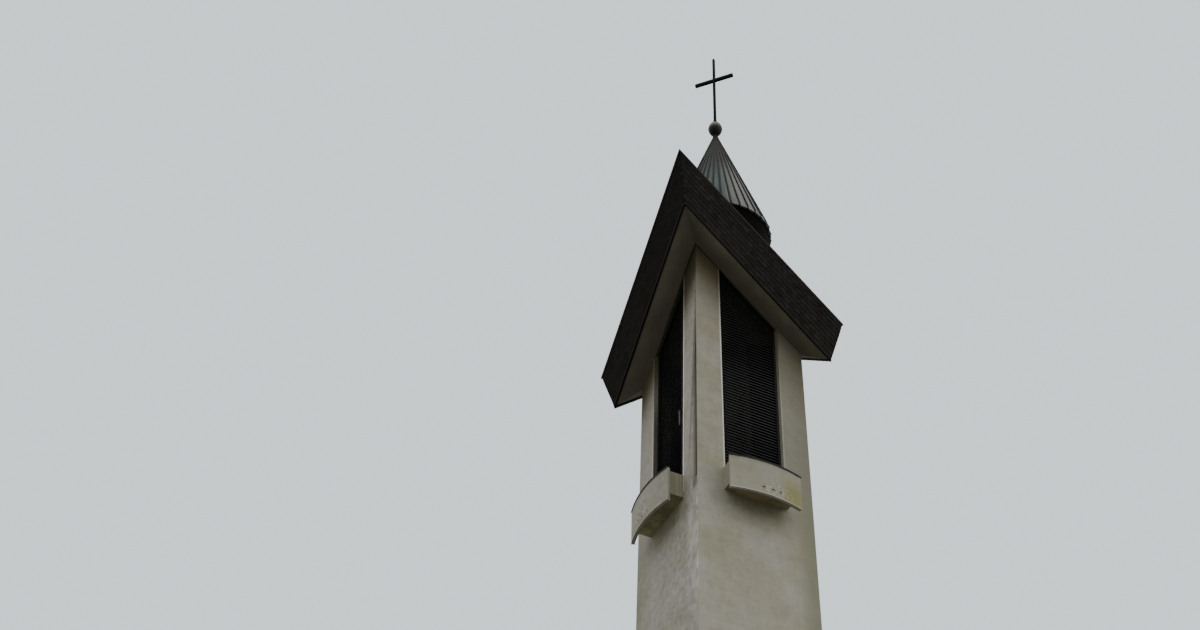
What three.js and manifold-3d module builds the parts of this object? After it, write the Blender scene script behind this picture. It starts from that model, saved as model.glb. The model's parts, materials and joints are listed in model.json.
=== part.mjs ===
// A modern church bell tower, in millimetres, +Z up, with the origin at the centre of its foot.
// The walls run along X and Y and lean slightly inwards. The roof's ridge runs over the diagonal
// from the corner at (-X, -Y), the near corner, to the corner at (+X, +Y), the far corner.

import * as THREE from 'three';
import { ConvexGeometry } from 'three/addons/geometries/ConvexGeometry.js';
import { mergeVertices } from 'three/addons/utils/BufferGeometryUtils.js';
import Module from 'manifold-3d';

const wasm = await Module();
wasm.setup();

// Fits and gaps
const GAP = 0.3;
const HALF_GAP = GAP / 2;
const WELD = 10;
const FAR = 20000;

// Shaft
const EAVE_LEVEL = 24000;
const WALL_WIDTH = 3200;
const BATTER = 0.0107;
const WALL = 300;
const FOOT_FLOOR = 250;

// Roof: reaches are measured from the tower's axis along the two diagonals of its plan
const RIDGE_RISE = 4452;
const RIDGE_REACH = 3655;
const EAVE_REACH = 3478;
const ROOF_DEPTH = 1775;
const ROOF_SHRINK = 0.884;
const FASCIA = 45;
const DECK = 220;
const SOFFIT = 120;
const SOFFIT_FALL = 639;
const VERGE = 15;
const VERGE_HEIGHT = 70;
const VERGE_LIP = 12;

// Belfry
const BELFRY_FLOOR_TOP = EAVE_LEVEL - 6370;
const BELFRY_FLOOR = 200;
const OPENING_HALF = 868;
const RECESS = 120;
const GROOVE_FOOT = EAVE_LEVEL - 6480;
const GROOVE_HEIGHT = 6740;
const GROOVE_WIDTH = 500;
const GROOVE_TOP_WIDTH = 40;
const GROOVE_DEPTH = 110;
const GROOVE_FIN = 12;

// Louvres
const LOUVRE_DEPTH = 90;
const LOUVRE_STILE = 60;
const BLADE_PITCH = 300;
const BLADE_DROP = 60;
const BLADE = 14;
const LEAF_STILE_AT = 555;
const LEAF_STILE = 40;

// Balconies: reaches are measured outwards from the wall face at the parapet's middle height
const TROUGH_UNDERSIDE = EAVE_LEVEL - 6570;
const TROUGH_TOP = EAVE_LEVEL - 5830;
const TROUGH_HALF = 905;
const TROUGH_FLOOR = 150;
const CHEEK = 90;
const PARAPET_LOW = EAVE_LEVEL - 6894;
const PARAPET_TOP = EAVE_LEVEL - 5830;
const PARAPET_HALF = 1027;
const PARAPET_END_REACH = 518;
const PARAPET_MID_REACH = 666;
const PARAPET = 90;
const COPING = 28;
const COPING_LIP = 14;
const ARC_STEPS = 20;

// Turret and finial
const DRUM_RADIUS = 1480;
const DRUM_WALL = 170;
const PLATE_RADIUS = 1385;
const PLATE_HEIGHT = 130;
const CONE_FOOT = EAVE_LEVEL + 4378;
const CONE_TOP = EAVE_LEVEL + 8903;
const CONE_RADIUS = 1541;
const CONE_TOP_RADIUS = 49;
const CONE_SHELL = 60;
const CONE_RIM = 35;
const ROUND_STEPS = 48;
const NECK_RADIUS = 78;
const BALL_LEVEL = EAVE_LEVEL + 9228;
const BALL_RADIUS = 208;
const BALL_STRETCH = 1.32;
const CROSS_TOP = EAVE_LEVEL + 12560;
const CROSS_ARM_LEVEL = EAVE_LEVEL + 11490;
const CROSS_ARM_HALF = 620;
const CROSS_POST = 75;
const CROSS_ARM_HEIGHT = 110;
const CROSS_ARM_DEPTH = 90;
const CROSS_POINT = 85;
const CROSS_HEADING = -49;

// Service door at the foot and the pull bar on one louvre
const DOOR_HALF = 480;
const DOOR_HEIGHT = 2150;
const DOOR_LEAF = 55;
const DOOR_FRAME = 60;
const PULL_LOW = EAVE_LEVEL - 3800;
const PULL_HIGH = EAVE_LEVEL - 3305;
const PULL_BAR = 30;
const PULL_STAND_OFF = 45;

const plaster = { color: 0xa9a595, roughness: 0.92, metalness: 0 };
const shingle = { color: 0x2a2622, roughness: 0.8, metalness: 0 };
const soffitPaint = { color: 0xb5b2a4, roughness: 0.85, metalness: 0 };
const louvrePaint = { color: 0x15171a, roughness: 0.6, metalness: 0.2 };
const flashing = { color: 0x4a4038, roughness: 0.5, metalness: 0.7 };
const copingMetal = { color: 0x2c2b28, roughness: 0.5, metalness: 0.7 };
const patina = { color: 0x6f7d6c, roughness: 0.6, metalness: 0.4 };
const ballMetal = { color: 0x8f8f84, roughness: 0.45, metalness: 0.7 };
const ironwork = { color: 0x161616, roughness: 0.55, metalness: 0.6 };
const doorPaint = { color: 0x3b3f3e, roughness: 0.6, metalness: 0.1 };

const SIDES = ['front_right', 'back_right', 'back_left', 'front_left'];
const BALCONY_SIDES = ['front_right', 'front_left'];
const LEAF_LOUVRE = 'front_left';
const CORNERS = ['near', 'right', 'far', 'left'];
const tower = new THREE.Group();

// Solid from a three.js geometry.
function solid(geometry) {
  const bare = geometry.clone();
  bare.deleteAttribute('normal');
  bare.deleteAttribute('uv');
  const merged = mergeVertices(bare, 1e-3);
  return new wasm.Manifold(new wasm.Mesh({
    numProp: 3,
    vertProperties: Float32Array.from(merged.attributes.position.array),
    triVerts: Uint32Array.from(merged.index.array),
  }));
}

function geometryOf(body) {
  const mesh = body.getMesh();
  const geometry = new THREE.BufferGeometry();
  geometry.setAttribute('position', new THREE.BufferAttribute(mesh.vertProperties, 3));
  geometry.setIndex(new THREE.BufferAttribute(mesh.triVerts, 1));
  geometry.computeVertexNormals();
  return geometry;
}

function add(name, body, finish) {
  const mesh = new THREE.Mesh(geometryOf(body), new THREE.MeshStandardMaterial(finish));
  mesh.name = name;
  tower.add(mesh);
}

function hull(points) {
  return solid(new ConvexGeometry(points));
}

function block(xLow, xHigh, yLow, yHigh, zLow, zHigh) {
  const box = new THREE.BoxGeometry(xHigh - xLow, yHigh - yLow, zHigh - zLow);
  box.translate((xLow + xHigh) / 2, (yLow + yHigh) / 2, (zLow + zHigh) / 2);
  return solid(box);
}

function prism(shape, zLow, zHigh) {
  const geometry = new THREE.ExtrudeGeometry(shape, {
    depth: zHigh - zLow, bevelEnabled: false, curveSegments: ARC_STEPS,
  });
  geometry.translate(0, 0, zLow);
  return solid(geometry);
}

// Round solid about the tower's axis from a profile of [radius, height] points.
function turned(profile, steps) {
  const geometry = new THREE.LatheGeometry(profile.map(([r, z]) => new THREE.Vector2(r, z)), steps);
  geometry.rotateX(Math.PI / 2);
  return solid(geometry);
}

// A piece made for the side that faces -Y, turned to side 0 to 3 about the axis.
function onSide(body, side) {
  return body.rotate([0, 0, side * 90]);
}

// Half the shaft's width at a height.
function halfWidth(z) {
  return WALL_WIDTH / 2 + BATTER * (EAVE_LEVEL - z);
}

// Leaning square block whose faces lie inset from the wall faces.
function shaftBlock(inset, zLow, zHigh) {
  const points = [];
  for (const z of [zLow, zHigh]) {
    const half = halfWidth(z) - inset;
    for (const x of [-half, half]) {
      points.push(new THREE.Vector3(x, -half, z), new THREE.Vector3(x, half, z));
    }
  }
  return hull(points);
}

// A point from its distances along the eave diagonal and the ridge diagonal.
function diagonal(eaveWay, ridgeWay, z) {
  return new THREE.Vector3(
    (eaveWay + ridgeWay) * Math.SQRT1_2, (ridgeWay - eaveWay) * Math.SQRT1_2, z,
  );
}

const ROOF_SLOPE = RIDGE_RISE / EAVE_REACH;
const ROOF_EDGE_DISTANCE = (EAVE_REACH * RIDGE_REACH) / Math.hypot(EAVE_REACH, RIDGE_REACH);
const CEILING_DEPTH = ROOF_DEPTH + SOFFIT_FALL;

// Everything that lies deeper than a depth below the roof's top planes.
function belowRoof(depth) {
  const top = EAVE_LEVEL + RIDGE_RISE - depth;
  const points = [];
  for (const ridgeWay of [-FAR, FAR]) {
    for (const eaveWay of [-FAR / 2, 0, FAR / 2]) {
      points.push(diagonal(eaveWay, ridgeWay, top - ROOF_SLOPE * Math.abs(eaveWay)));
    }
    points.push(diagonal(-FAR / 2, ridgeWay, -FAR), diagonal(FAR / 2, ridgeWay, -FAR));
  }
  return hull(points);
}

// The roof's outline shrinks with the depth below its top planes and with an inset from the fascia's face.
function outlineScale(depth, inset) {
  return 1 - ((1 - ROOF_SHRINK) * depth) / ROOF_DEPTH - inset / ROOF_EDGE_DISTANCE;
}

// Corner of a scaled roof outline at an end of the ridge.
function ridgeCorner(eaveSide, ridgeSide, scale, depth, away = HALF_GAP) {
  return diagonal(eaveSide * away, ridgeSide * RIDGE_REACH * scale, EAVE_LEVEL + RIDGE_RISE - depth);
}

// Corner of a scaled roof outline at an eave's tip.
function eaveCorner(eaveSide, scale, depth, ridgeWay = 0) {
  return diagonal(eaveSide * EAVE_REACH * scale, ridgeWay, EAVE_LEVEL + RIDGE_RISE * (1 - scale) - depth);
}

// A flat piece of one roof slope between two depths, inside the fascias.
function slopeSlab(eaveSide, topDepth, lowDepth) {
  const points = [];
  for (const depth of [topDepth, lowDepth]) {
    const scale = outlineScale(depth, FASCIA + GAP);
    points.push(ridgeCorner(eaveSide, -1, scale, depth), eaveCorner(eaveSide, scale, depth));
    points.push(ridgeCorner(eaveSide, 1, scale, depth));
  }
  return hull(points);
}

// A strip along one edge of one slope, between two depths and two insets.
function edgeStrip(eaveSide, ridgeSide, topDepth, lowDepth, outerInset, innerInset, tipAway) {
  const points = [];
  for (const depth of [topDepth, lowDepth]) {
    for (const inset of [outerInset, innerInset]) {
      const scale = outlineScale(depth, inset);
      points.push(ridgeCorner(eaveSide, ridgeSide, scale, depth));
      points.push(eaveCorner(eaveSide, scale, depth, ridgeSide * tipAway));
    }
  }
  return hull(points);
}

// Corners of the soffit's underside on one slope: from the fascias it falls to a ring over the wall
// faces, and inside them it is the belfry's ceiling, parallel to the roof.
function soffitCorners(eaveSide, away) {
  const outer = outlineScale(ROOF_DEPTH, FASCIA + GAP);
  const inner = halfWidth(EAVE_LEVEL) / ROOF_EDGE_DISTANCE;
  return [[outer, ROOF_DEPTH], [inner, CEILING_DEPTH]].map(([scale, depth]) => [
    ridgeCorner(eaveSide, -1, scale, depth, away),
    eaveCorner(eaveSide, scale, depth),
    ridgeCorner(eaveSide, 1, scale, depth, away),
  ]);
}

// Solid that stands on flat corners, from one height above them to another.
function standing(corners, low, high) {
  return hull(corners.flatMap(({ x, y, z }) => [new THREE.Vector3(x, y, z + low), new THREE.Vector3(x, y, z + high)]));
}

// Everything above the soffit's underside, less a gap.
function aboveSoffit() {
  const [right, left] = [1, -1].map((eaveSide) => standing(soffitCorners(eaveSide, 0).flat(), -GAP, FAR));
  return right.add(left);
}

function addShaft() {
  for (const [side, name] of SIDES.entries()) {
    const points = [];
    for (const z of [0, BELFRY_FLOOR_TOP - BELFRY_FLOOR - GAP]) {
      for (const inset of [0, WALL]) {
        const half = halfWidth(z) - inset;
        points.push(new THREE.Vector3(-half + HALF_GAP, -half, z), new THREE.Vector3(half - HALF_GAP, -half, z));
      }
    }
    let wall = onSide(hull(points), side);
    if (name === 'back_left') {
      wall = wall.subtract(onSide(block(-DOOR_HALF, DOOR_HALF, -FAR, 0, -WELD, DOOR_HEIGHT), side));
    }
    add(`${name}_wall`, wall, plaster);
  }
  add('foot_floor', shaftBlock(WALL + GAP, 0, FOOT_FLOOR), plaster);
  add('belfry_floor', shaftBlock(0, BELFRY_FLOOR_TOP - BELFRY_FLOOR, BELFRY_FLOOR_TOP), plaster);
}

// Plain door and frame in the back left wall, set back by half the wall.
function addDoor() {
  const face = -halfWidth(0) + WALL / 2;
  const inner = DOOR_HALF - GAP;
  const top = DOOR_HEIGHT - GAP;
  const frame = block(-inner, inner, face, face + DOOR_LEAF, GAP, top)
    .subtract(block(-inner + DOOR_FRAME, inner - DOOR_FRAME, -FAR, FAR, -WELD, top - DOOR_FRAME));
  const leafHalf = inner - DOOR_FRAME - GAP;
  const leaf = block(-leafHalf, leafHalf, face, face + DOOR_LEAF, GAP, top - DOOR_FRAME - GAP);
  const side = SIDES.indexOf('back_left');
  add('foot_door_frame', onSide(frame, side), doorPaint);
  add('foot_door', onSide(leaf, side), doorPaint);
}

// Corner piers of the belfry. The near and the far one have a slit beside the corner.
function addPiers() {
  const shell = shaftBlock(0, BELFRY_FLOOR_TOP + GAP, EAVE_LEVEL + RIDGE_RISE)
    .subtract(shaftBlock(WALL, BELFRY_FLOOR_TOP - WELD, EAVE_LEVEL + RIDGE_RISE + WELD));
  const roofSpace = aboveSoffit();
  for (const [corner, name] of CORNERS.entries()) {
    const column = block(-FAR, -OPENING_HALF, -FAR, -OPENING_HALF, 0, FAR * 2).rotate([0, 0, corner * 90]);
    let pier = shell.intersect(column).subtract(roofSpace);
    if (name === 'near' || name === 'far') {
      pier = pier.subtract(groove().rotate([0, 0, corner * 90]));
    }
    add(`${name}_pier`, pier, plaster);
  }
}

// Slit beside a thin fin at the corner: it widens downwards, and its floor slopes in towards the fin.
function groove() {
  const points = [];
  for (const [z, width] of [[GROOVE_FOOT, GROOVE_WIDTH], [GROOVE_FOOT + GROOVE_HEIGHT, GROOVE_TOP_WIDTH]]) {
    const face = -halfWidth(z);
    const fin = face + GROOVE_FIN;
    const outside = fin + width * (1 + WELD / GROOVE_DEPTH);
    points.push(new THREE.Vector3(face + GROOVE_DEPTH, fin, z));
    points.push(new THREE.Vector3(face - WELD, fin, z), new THREE.Vector3(face - WELD, outside, z));
  }
  return hull(points);
}

// One louvre before it is cut to the soffit: its frame's outside and inside, its blades and a leaf's stile.
function louvre() {
  const height = EAVE_LEVEL + RIDGE_RISE - CEILING_DEPTH - BELFRY_FLOOR_TOP;
  const half = OPENING_HALF - GAP;
  const clear = half - LOUVRE_STILE;
  const seat = GAP + LOUVRE_DEPTH * BATTER;
  const panel = block(-half, half, 0, LOUVRE_DEPTH, seat, height);
  const field = block(-clear, clear, -WELD, LOUVRE_DEPTH + WELD, LOUVRE_STILE, height + WELD);
  const stile = block(
    LEAF_STILE_AT - LEAF_STILE / 2, LEAF_STILE_AT + LEAF_STILE / 2, 0, LOUVRE_DEPTH, LOUVRE_STILE / 2, height,
  );
  let blades = panel.subtract(panel);
  for (let z = LOUVRE_STILE + BLADE_PITCH / 2; z < height; z += BLADE_PITCH) {
    const points = [];
    for (const x of [-clear - WELD, clear + WELD]) {
      points.push(new THREE.Vector3(x, WELD, z - BLADE_DROP), new THREE.Vector3(x, WELD, z - BLADE_DROP + BLADE));
      points.push(new THREE.Vector3(x, LOUVRE_DEPTH - WELD, z), new THREE.Vector3(x, LOUVRE_DEPTH - WELD, z + BLADE));
    }
    blades = blades.add(hull(points));
  }
  return { panel, field, blades, stile };
}

function addLouvres() {
  const lean = THREE.MathUtils.radToDeg(-Math.atan(BATTER));
  const { panel, field, blades, stile } = louvre();
  for (const [side, name] of SIDES.entries()) {
    const place = (body) => onSide(
      body.rotate([lean, 0, 0]).translate([0, RECESS - halfWidth(BELFRY_FLOOR_TOP), BELFRY_FLOOR_TOP]), side,
    );
    const hole = place(field).intersect(belowRoof(CEILING_DEPTH + GAP + LOUVRE_STILE));
    const frame = place(panel).intersect(belowRoof(CEILING_DEPTH + GAP)).subtract(hole);
    const inside = name === LEAF_LOUVRE ? blades.add(stile) : blades;
    const slats = place(inside).intersect(belowRoof(CEILING_DEPTH + GAP + LOUVRE_STILE / 2));
    add(`${name}_louvre`, frame.add(slats), louvrePaint);
  }
}

// Vertical pull bar on the leaf stile.
function addPull() {
  const middle = (PULL_LOW + PULL_HIGH) / 2;
  const stileFace = RECESS - halfWidth(middle) - GAP;
  const lean = BATTER * (PULL_HIGH - middle);
  const outer = stileFace - lean - PULL_STAND_OFF;
  const x = LEAF_STILE_AT;
  let pull = block(x - PULL_BAR / 2, x + PULL_BAR / 2, outer - PULL_BAR, outer, PULL_LOW, PULL_HIGH);
  for (const z of [PULL_LOW + PULL_BAR, PULL_HIGH - PULL_BAR]) {
    const foot = RECESS - halfWidth(z - PULL_BAR / 2) - GAP;
    pull = pull.add(block(x - PULL_BAR / 2, x + PULL_BAR / 2, outer - WELD, foot, z - PULL_BAR / 2, z + PULL_BAR / 2));
  }
  add('louvre_pull', onSide(pull, SIDES.indexOf(LEAF_LOUVRE)), ballMetal);
}

const BALCONY_WALL = halfWidth((PARAPET_LOW + PARAPET_TOP) / 2);
const PARAPET_SAG = PARAPET_MID_REACH - PARAPET_END_REACH;
const PARAPET_RADIUS = (PARAPET_HALF ** 2 + PARAPET_SAG ** 2) / (2 * PARAPET_SAG);
const PARAPET_CENTRE = -(BALCONY_WALL + PARAPET_MID_REACH - PARAPET_RADIUS);

// Plan of a curved strip between two radii, cut straight at its ends.
function curvedStrip(outer, inner, half) {
  const shape = new THREE.Shape();
  const wide = Math.asin(half / outer);
  const tight = Math.asin(half / inner);
  shape.absarc(0, PARAPET_CENTRE, outer, -Math.PI / 2 - wide, -Math.PI / 2 + wide, false);
  shape.absarc(0, PARAPET_CENTRE, inner, -Math.PI / 2 + tight, -Math.PI / 2 - tight, true);
  shape.closePath();
  return shape;
}

// Plan of the trough: straight sides, with a front that fits the parapet's hollow side.
function troughPlan() {
  const front = PARAPET_RADIUS - PARAPET - GAP;
  const spread = Math.asin(TROUGH_HALF / front);
  const shape = new THREE.Shape();
  shape.moveTo(TROUGH_HALF, -BALCONY_WALL + WALL);
  shape.lineTo(-TROUGH_HALF, -BALCONY_WALL + WALL);
  shape.absarc(0, PARAPET_CENTRE, front, -Math.PI / 2 - spread, -Math.PI / 2 + spread, false);
  shape.closePath();
  return shape;
}

function addBalconies() {
  const clear = TROUGH_HALF - CHEEK;
  const wall = shaftBlock(-GAP, TROUGH_UNDERSIDE - WALL, TROUGH_TOP + WALL);
  const trough = prism(troughPlan(), TROUGH_UNDERSIDE, TROUGH_TOP)
    .subtract(block(-clear, clear, -FAR, 0, TROUGH_UNDERSIDE + TROUGH_FLOOR, FAR * 2))
    .subtract(wall);
  const inner = PARAPET_RADIUS - PARAPET;
  const parapet = prism(curvedStrip(PARAPET_RADIUS, inner, PARAPET_HALF), PARAPET_LOW, PARAPET_TOP);
  const coping = prism(
    curvedStrip(PARAPET_RADIUS + COPING_LIP, inner - COPING_LIP, PARAPET_HALF + COPING_LIP),
    PARAPET_TOP + GAP, PARAPET_TOP + GAP + COPING,
  );
  for (const name of BALCONY_SIDES) {
    const side = SIDES.indexOf(name);
    add(`${name}_balcony_trough`, onSide(trough, side), plaster);
    add(`${name}_parapet`, onSide(parapet, side), plaster);
    add(`${name}_coping`, onSide(coping, side), copingMetal);
  }
}

// Soffit of one slope: the belfry's ceiling and the two falling strips outside the walls.
function soffit(eaveSide) {
  const [[nearEdge, eaveEdge, farEdge], [nearWall, eaveWall, farWall]] = soffitCorners(eaveSide, HALF_GAP);
  const ceiling = standing([nearWall, eaveWall, farWall], 0, SOFFIT);
  const near = standing([nearEdge, eaveEdge, eaveWall, nearWall], 0, SOFFIT);
  const far = standing([farEdge, eaveEdge, eaveWall, farWall], 0, SOFFIT);
  return ceiling.add(near).add(far);
}

function addRoof() {
  for (const [slope, eaveSide] of [['right', 1], ['left', -1]]) {
    add(`${slope}_roof_deck`, slopeSlab(eaveSide, 0, DECK), shingle);
    add(`${slope}_soffit`, soffit(eaveSide), soffitPaint);
    for (const [edge, ridgeSide] of [['near', -1], ['far', 1]]) {
      const board = edgeStrip(eaveSide, ridgeSide, 0, ROOF_DEPTH, 0, FASCIA, HALF_GAP);
      add(`${edge}_${slope}_fascia`, board, shingle);
    }
    const [near, far] = [-1, 1].map((ridgeSide) => edgeStrip(
      eaveSide, ridgeSide, -VERGE_LIP, VERGE_HEIGHT, -VERGE, -GAP, 0,
    ));
    add(`${slope}_verge_flashing`, near.add(far), flashing);
  }
}

// Drum astride the ridge, with a wall plate inside the cone's foot that joins its two sides.
function addTurret() {
  const height = CONE_FOOT - GAP;
  const inner = DRUM_RADIUS - DRUM_WALL;
  const drum = turned(
    [[inner, 0], [DRUM_RADIUS, 0], [DRUM_RADIUS, height], [PLATE_RADIUS, height],
      [PLATE_RADIUS, height + PLATE_HEIGHT], [inner, height + PLATE_HEIGHT], [inner, 0]], ROUND_STEPS,
  );
  add('turret_drum', drum.subtract(belowRoof(-GAP)), shingle);
  const cone = turned(
    [[0, CONE_TOP - CONE_SHELL * 2], [CONE_RADIUS - CONE_SHELL - CONE_RIM, CONE_FOOT], [CONE_RADIUS, CONE_FOOT],
      [CONE_RADIUS, CONE_FOOT + CONE_RIM], [CONE_TOP_RADIUS, CONE_TOP], [0, CONE_TOP]], ROUND_STEPS,
  );
  add('cone_roof', cone.subtract(belowRoof(-GAP)), patina);
}

// The ball is a little taller than it is wide.
function ballSolid(radius) {
  const sphere = new THREE.SphereGeometry(radius, 24, 16);
  sphere.rotateX(Math.PI / 2);
  sphere.scale(1, 1, BALL_STRETCH);
  sphere.translate(0, 0, BALL_LEVEL);
  return solid(sphere);
}

function addFinial() {
  const seat = ballSolid(BALL_RADIUS + GAP);
  const neck = turned(
    [[0, CONE_TOP + GAP], [NECK_RADIUS, CONE_TOP + GAP], [NECK_RADIUS * 0.7, BALL_LEVEL], [0, BALL_LEVEL]], 24,
  );
  add('finial_neck', neck.subtract(seat), patina);
  add('finial_ball', ballSolid(BALL_RADIUS), ballMetal);
  const half = CROSS_POST / 2;
  const armHigh = CROSS_ARM_HEIGHT / 2;
  const armDeep = CROSS_ARM_DEPTH / 2;
  const post = block(-half, half, -half, half, BALL_LEVEL, CROSS_TOP - CROSS_POINT);
  const point = hull([
    ...[-half, half].flatMap((x) => [-half, half].map((y) => new THREE.Vector3(x, y, CROSS_TOP - CROSS_POINT))),
    new THREE.Vector3(0, 0, CROSS_TOP),
  ]);
  const arm = block(
    -CROSS_ARM_HALF, CROSS_ARM_HALF, -armDeep, armDeep, CROSS_ARM_LEVEL - armHigh, CROSS_ARM_LEVEL + armHigh,
  );
  const cross = post.add(point).add(arm).rotate([0, 0, CROSS_HEADING]);
  add('cross', cross.subtract(seat), ironwork);
}

addShaft();
addDoor();
addPiers();
addLouvres();
addPull();
addBalconies();
addRoof();
addTurret();
addFinial();

export default tower;
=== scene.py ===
# The looks of a modern church bell tower: shingles, seamed cone, louvres, render, weathering, and light and
# shade painted into the colours.
# Metres, +Z up, in the frame of the solids. The walls run along X and Y, and the ridge over the diagonal.

import json
import math
import random
from functools import partial

import bmesh
import bpy
from mathutils import Matrix, Vector


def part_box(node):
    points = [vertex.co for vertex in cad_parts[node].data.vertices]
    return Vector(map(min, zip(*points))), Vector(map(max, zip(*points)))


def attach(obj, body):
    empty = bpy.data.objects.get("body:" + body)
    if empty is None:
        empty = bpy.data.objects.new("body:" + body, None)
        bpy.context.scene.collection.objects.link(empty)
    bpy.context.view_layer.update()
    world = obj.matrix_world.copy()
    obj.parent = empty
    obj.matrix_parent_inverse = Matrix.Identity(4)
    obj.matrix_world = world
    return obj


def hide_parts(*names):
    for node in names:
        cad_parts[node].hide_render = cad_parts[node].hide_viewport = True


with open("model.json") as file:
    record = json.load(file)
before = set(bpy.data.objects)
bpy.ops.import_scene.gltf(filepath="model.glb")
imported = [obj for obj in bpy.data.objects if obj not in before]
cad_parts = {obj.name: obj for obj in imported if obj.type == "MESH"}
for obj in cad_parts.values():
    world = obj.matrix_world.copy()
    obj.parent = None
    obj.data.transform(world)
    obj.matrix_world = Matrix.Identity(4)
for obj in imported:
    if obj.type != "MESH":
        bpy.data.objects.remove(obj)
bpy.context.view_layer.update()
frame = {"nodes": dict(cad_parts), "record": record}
NODES = frame["nodes"]
RECORD = frame["record"]

# Camera
CAMERA_PLACE = (-23.4696, -42.3882, -21.5598)
CAMERA_HEADING = -25.001
CAMERA_TILT = 44.094
CAMERA_ROLL = 1.3915
CAMERA_LENS = 72.072
SENSOR_WIDTH = 36.0
VIEW_END = 500.0

# Light: an overcast sky that is brighter overhead than at the horizon, and a soft lamp on the right
HORIZON_LIGHT = 0.38
ZENITH_LIGHT = 1.7
GROUND_LIGHT = 0.27
SKY_TINT = (1.0, 1.0, 0.985)
BACKDROP = (1.01, 1.13, 1.18)
SIDE_LAMP_PLACE = Vector((30.0, -38.0, 34.0))
SIDE_LAMP_AIM = Vector((0.0, 0.0, 22.0))
SIDE_LAMP_SIZE = 24.0
SIDE_LAMP_POWER = 2900.0
FLOOR_RADIUS = 16.0
FLOOR_THICKNESS = 0.05
FLOOR_GREY = (0.55, 0.55, 0.54)

# Sides of the tower, each a quarter turn on from the one that faces -Y
SIDES = ("front_right", "back_right", "back_left", "front_left")
BALCONY_SIDES = ("front_right", "front_left")
DIAGONAL = math.sqrt(0.5)
UP = Vector((0.0, 0.0, 1.0))
SHARP_EDGE = math.radians(32)
SOFTENED_EDGE = math.radians(60)

# Places measured on the solids
FOOT_HALF = -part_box("front_right_wall")[0].y
FLOOR_LOW, FLOOR_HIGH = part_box("belfry_floor")
LOUVRE_LOW, LOUVRE_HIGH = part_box("front_right_louvre")
PARAPET_LOW, PARAPET_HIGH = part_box("front_right_parapet")
COPING_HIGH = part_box("front_right_coping")[1]
TROUGH_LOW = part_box("front_right_balcony_trough")[0]
PULL_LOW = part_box("louvre_pull")[0]
DRUM_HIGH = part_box("turret_drum")[1]
CONE_LOW, CONE_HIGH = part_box("cone_roof")
BALL_LOW, BALL_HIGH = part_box("finial_ball")
CROSS_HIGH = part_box("cross")[1]
DOOR_LOW, DOOR_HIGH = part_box("foot_door")
BATTER = (FOOT_HALF + FLOOR_LOW.y) / FLOOR_LOW.z
BELFRY_LEVEL = FLOOR_HIGH.z
JAMB_HALF = LOUVRE_HIGH.x


def half_width(z):
    """Half the shaft's width at a height."""
    return FOOT_HALF - BATTER * z


def farthest(node, direction):
    """The corner of a solid that lies farthest along a direction."""
    along = Vector(direction)
    return max((vertex.co for vertex in NODES[node].data.vertices), key=lambda co: co.dot(along)).copy()


ROOF_PEAK = farthest("near_right_fascia", UP).z
ROOF_FALL = 4.452 / 3.478
PIER_TOP = farthest("near_pier", UP).z

# Louvres: a frame with close-set blades, and on one side the stile of a leaf
LOUVRE_FACE = half_width(BELFRY_LEVEL) + LOUVRE_LOW.y
LOUVRE_DEPTH = 0.088
SILL_GAP = 0.002
HEAD_GAP = 0.006
STILE = 0.06
HEAD = 0.075
LEAF_LOUVRE = "front_left"
LEAF_STILE = (0.535, 0.575)
LEAF_STILE_PROUD = 0.004
LEAF_STOP = (0.579, 0.605)
LEAF_STOP_SUNK = 0.004
BLADE_PITCH = 0.10
BLADE_RISE = 0.105
BLADE_REACH = 0.07
BLADE_THICKNESS = 0.008
BLADE_SUNK = 0.008
BLADE_TUCK = 0.01
BLADE_LEAST = 0.03
BLADE_TOP_MARGIN = HEAD * 0.6
BLADE_LIP_RISE = 0.014
BLADE_LIP_DROP = 0.006
BLADE_LIP_THICKNESS = 0.004
BEAD = 0.04
BEAD_PROUD = 0.006
BEAD_SUNK = 0.004
BEAD_GAP = 0.002
BEAD_END_GAP = 0.004

# Balconies: a curved parapet with a lip, a drip groove, three weep slots of painted shade and a sheet coping
PARAPET_SAG = 0.148
PARAPET_RADIUS = (PARAPET_HIGH.x ** 2 + PARAPET_SAG ** 2) / (2 * PARAPET_SAG)
PARAPET_CENTRE = PARAPET_LOW.y + PARAPET_RADIUS
PARAPET_THICKNESS = 0.09
PARAPET_ROUNDING = 0.005
ARC_STEPS = 40
LIP_PROUD = 0.006
LIP_HEIGHT = 0.024
LIP_SLOPE = 0.012
GROOVE = ((0.045, 0.0), (0.041, 0.012), (0.030, 0.012), (0.026, 0.0))
COPING_DROP = 0.026
COPING_FALL = 0.004
SHEET = 0.005
SHEET_GAP = 0.002
SLOT_PLACES = (-0.140, 0.135, 0.345)
SLOT_LEVEL = 0.19
SLOT_WIDTH = 0.085
SLOT_HEIGHT = 0.05
SLOT_PROUD = 0.0025
SLOT_DEPTH = 0.02
SLOT_ROUNDING = 0.002
SILL_WIDTH = 0.101
SILL_HEIGHT = 0.012
SILL_PROUD = 0.012
SILL_DEPTH = 0.01
SILL_ROUNDING = 0.003

# Cone: its rim, the hollow under it and its standing seams
CONE_RIM_TOP = CONE_LOW.z + 0.035
CONE_RIM_WIDTH = 0.095
CONE_HOLLOW_TOP = CONE_HIGH.z - 0.12
CONE_TIP = 0.049
CONE_EDGE = CONE_HIGH.x - CONE_TIP
CONE_SEAMS = 36
SEAM_TURN = -4.0
SEAM_FOOT = CONE_RIM_TOP + 0.03
SEAM_TOP = CONE_HIGH.z - 0.06
SEAM_HEIGHT = 0.034
SEAM_WIDTH = 0.020
SEAM_ROOT = 0.02
SEAM_HEIGHT_AT_TOP = SEAM_HEIGHT * 0.3
SEAM_WIDTH_AT_TOP = SEAM_WIDTH * 0.4

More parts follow.
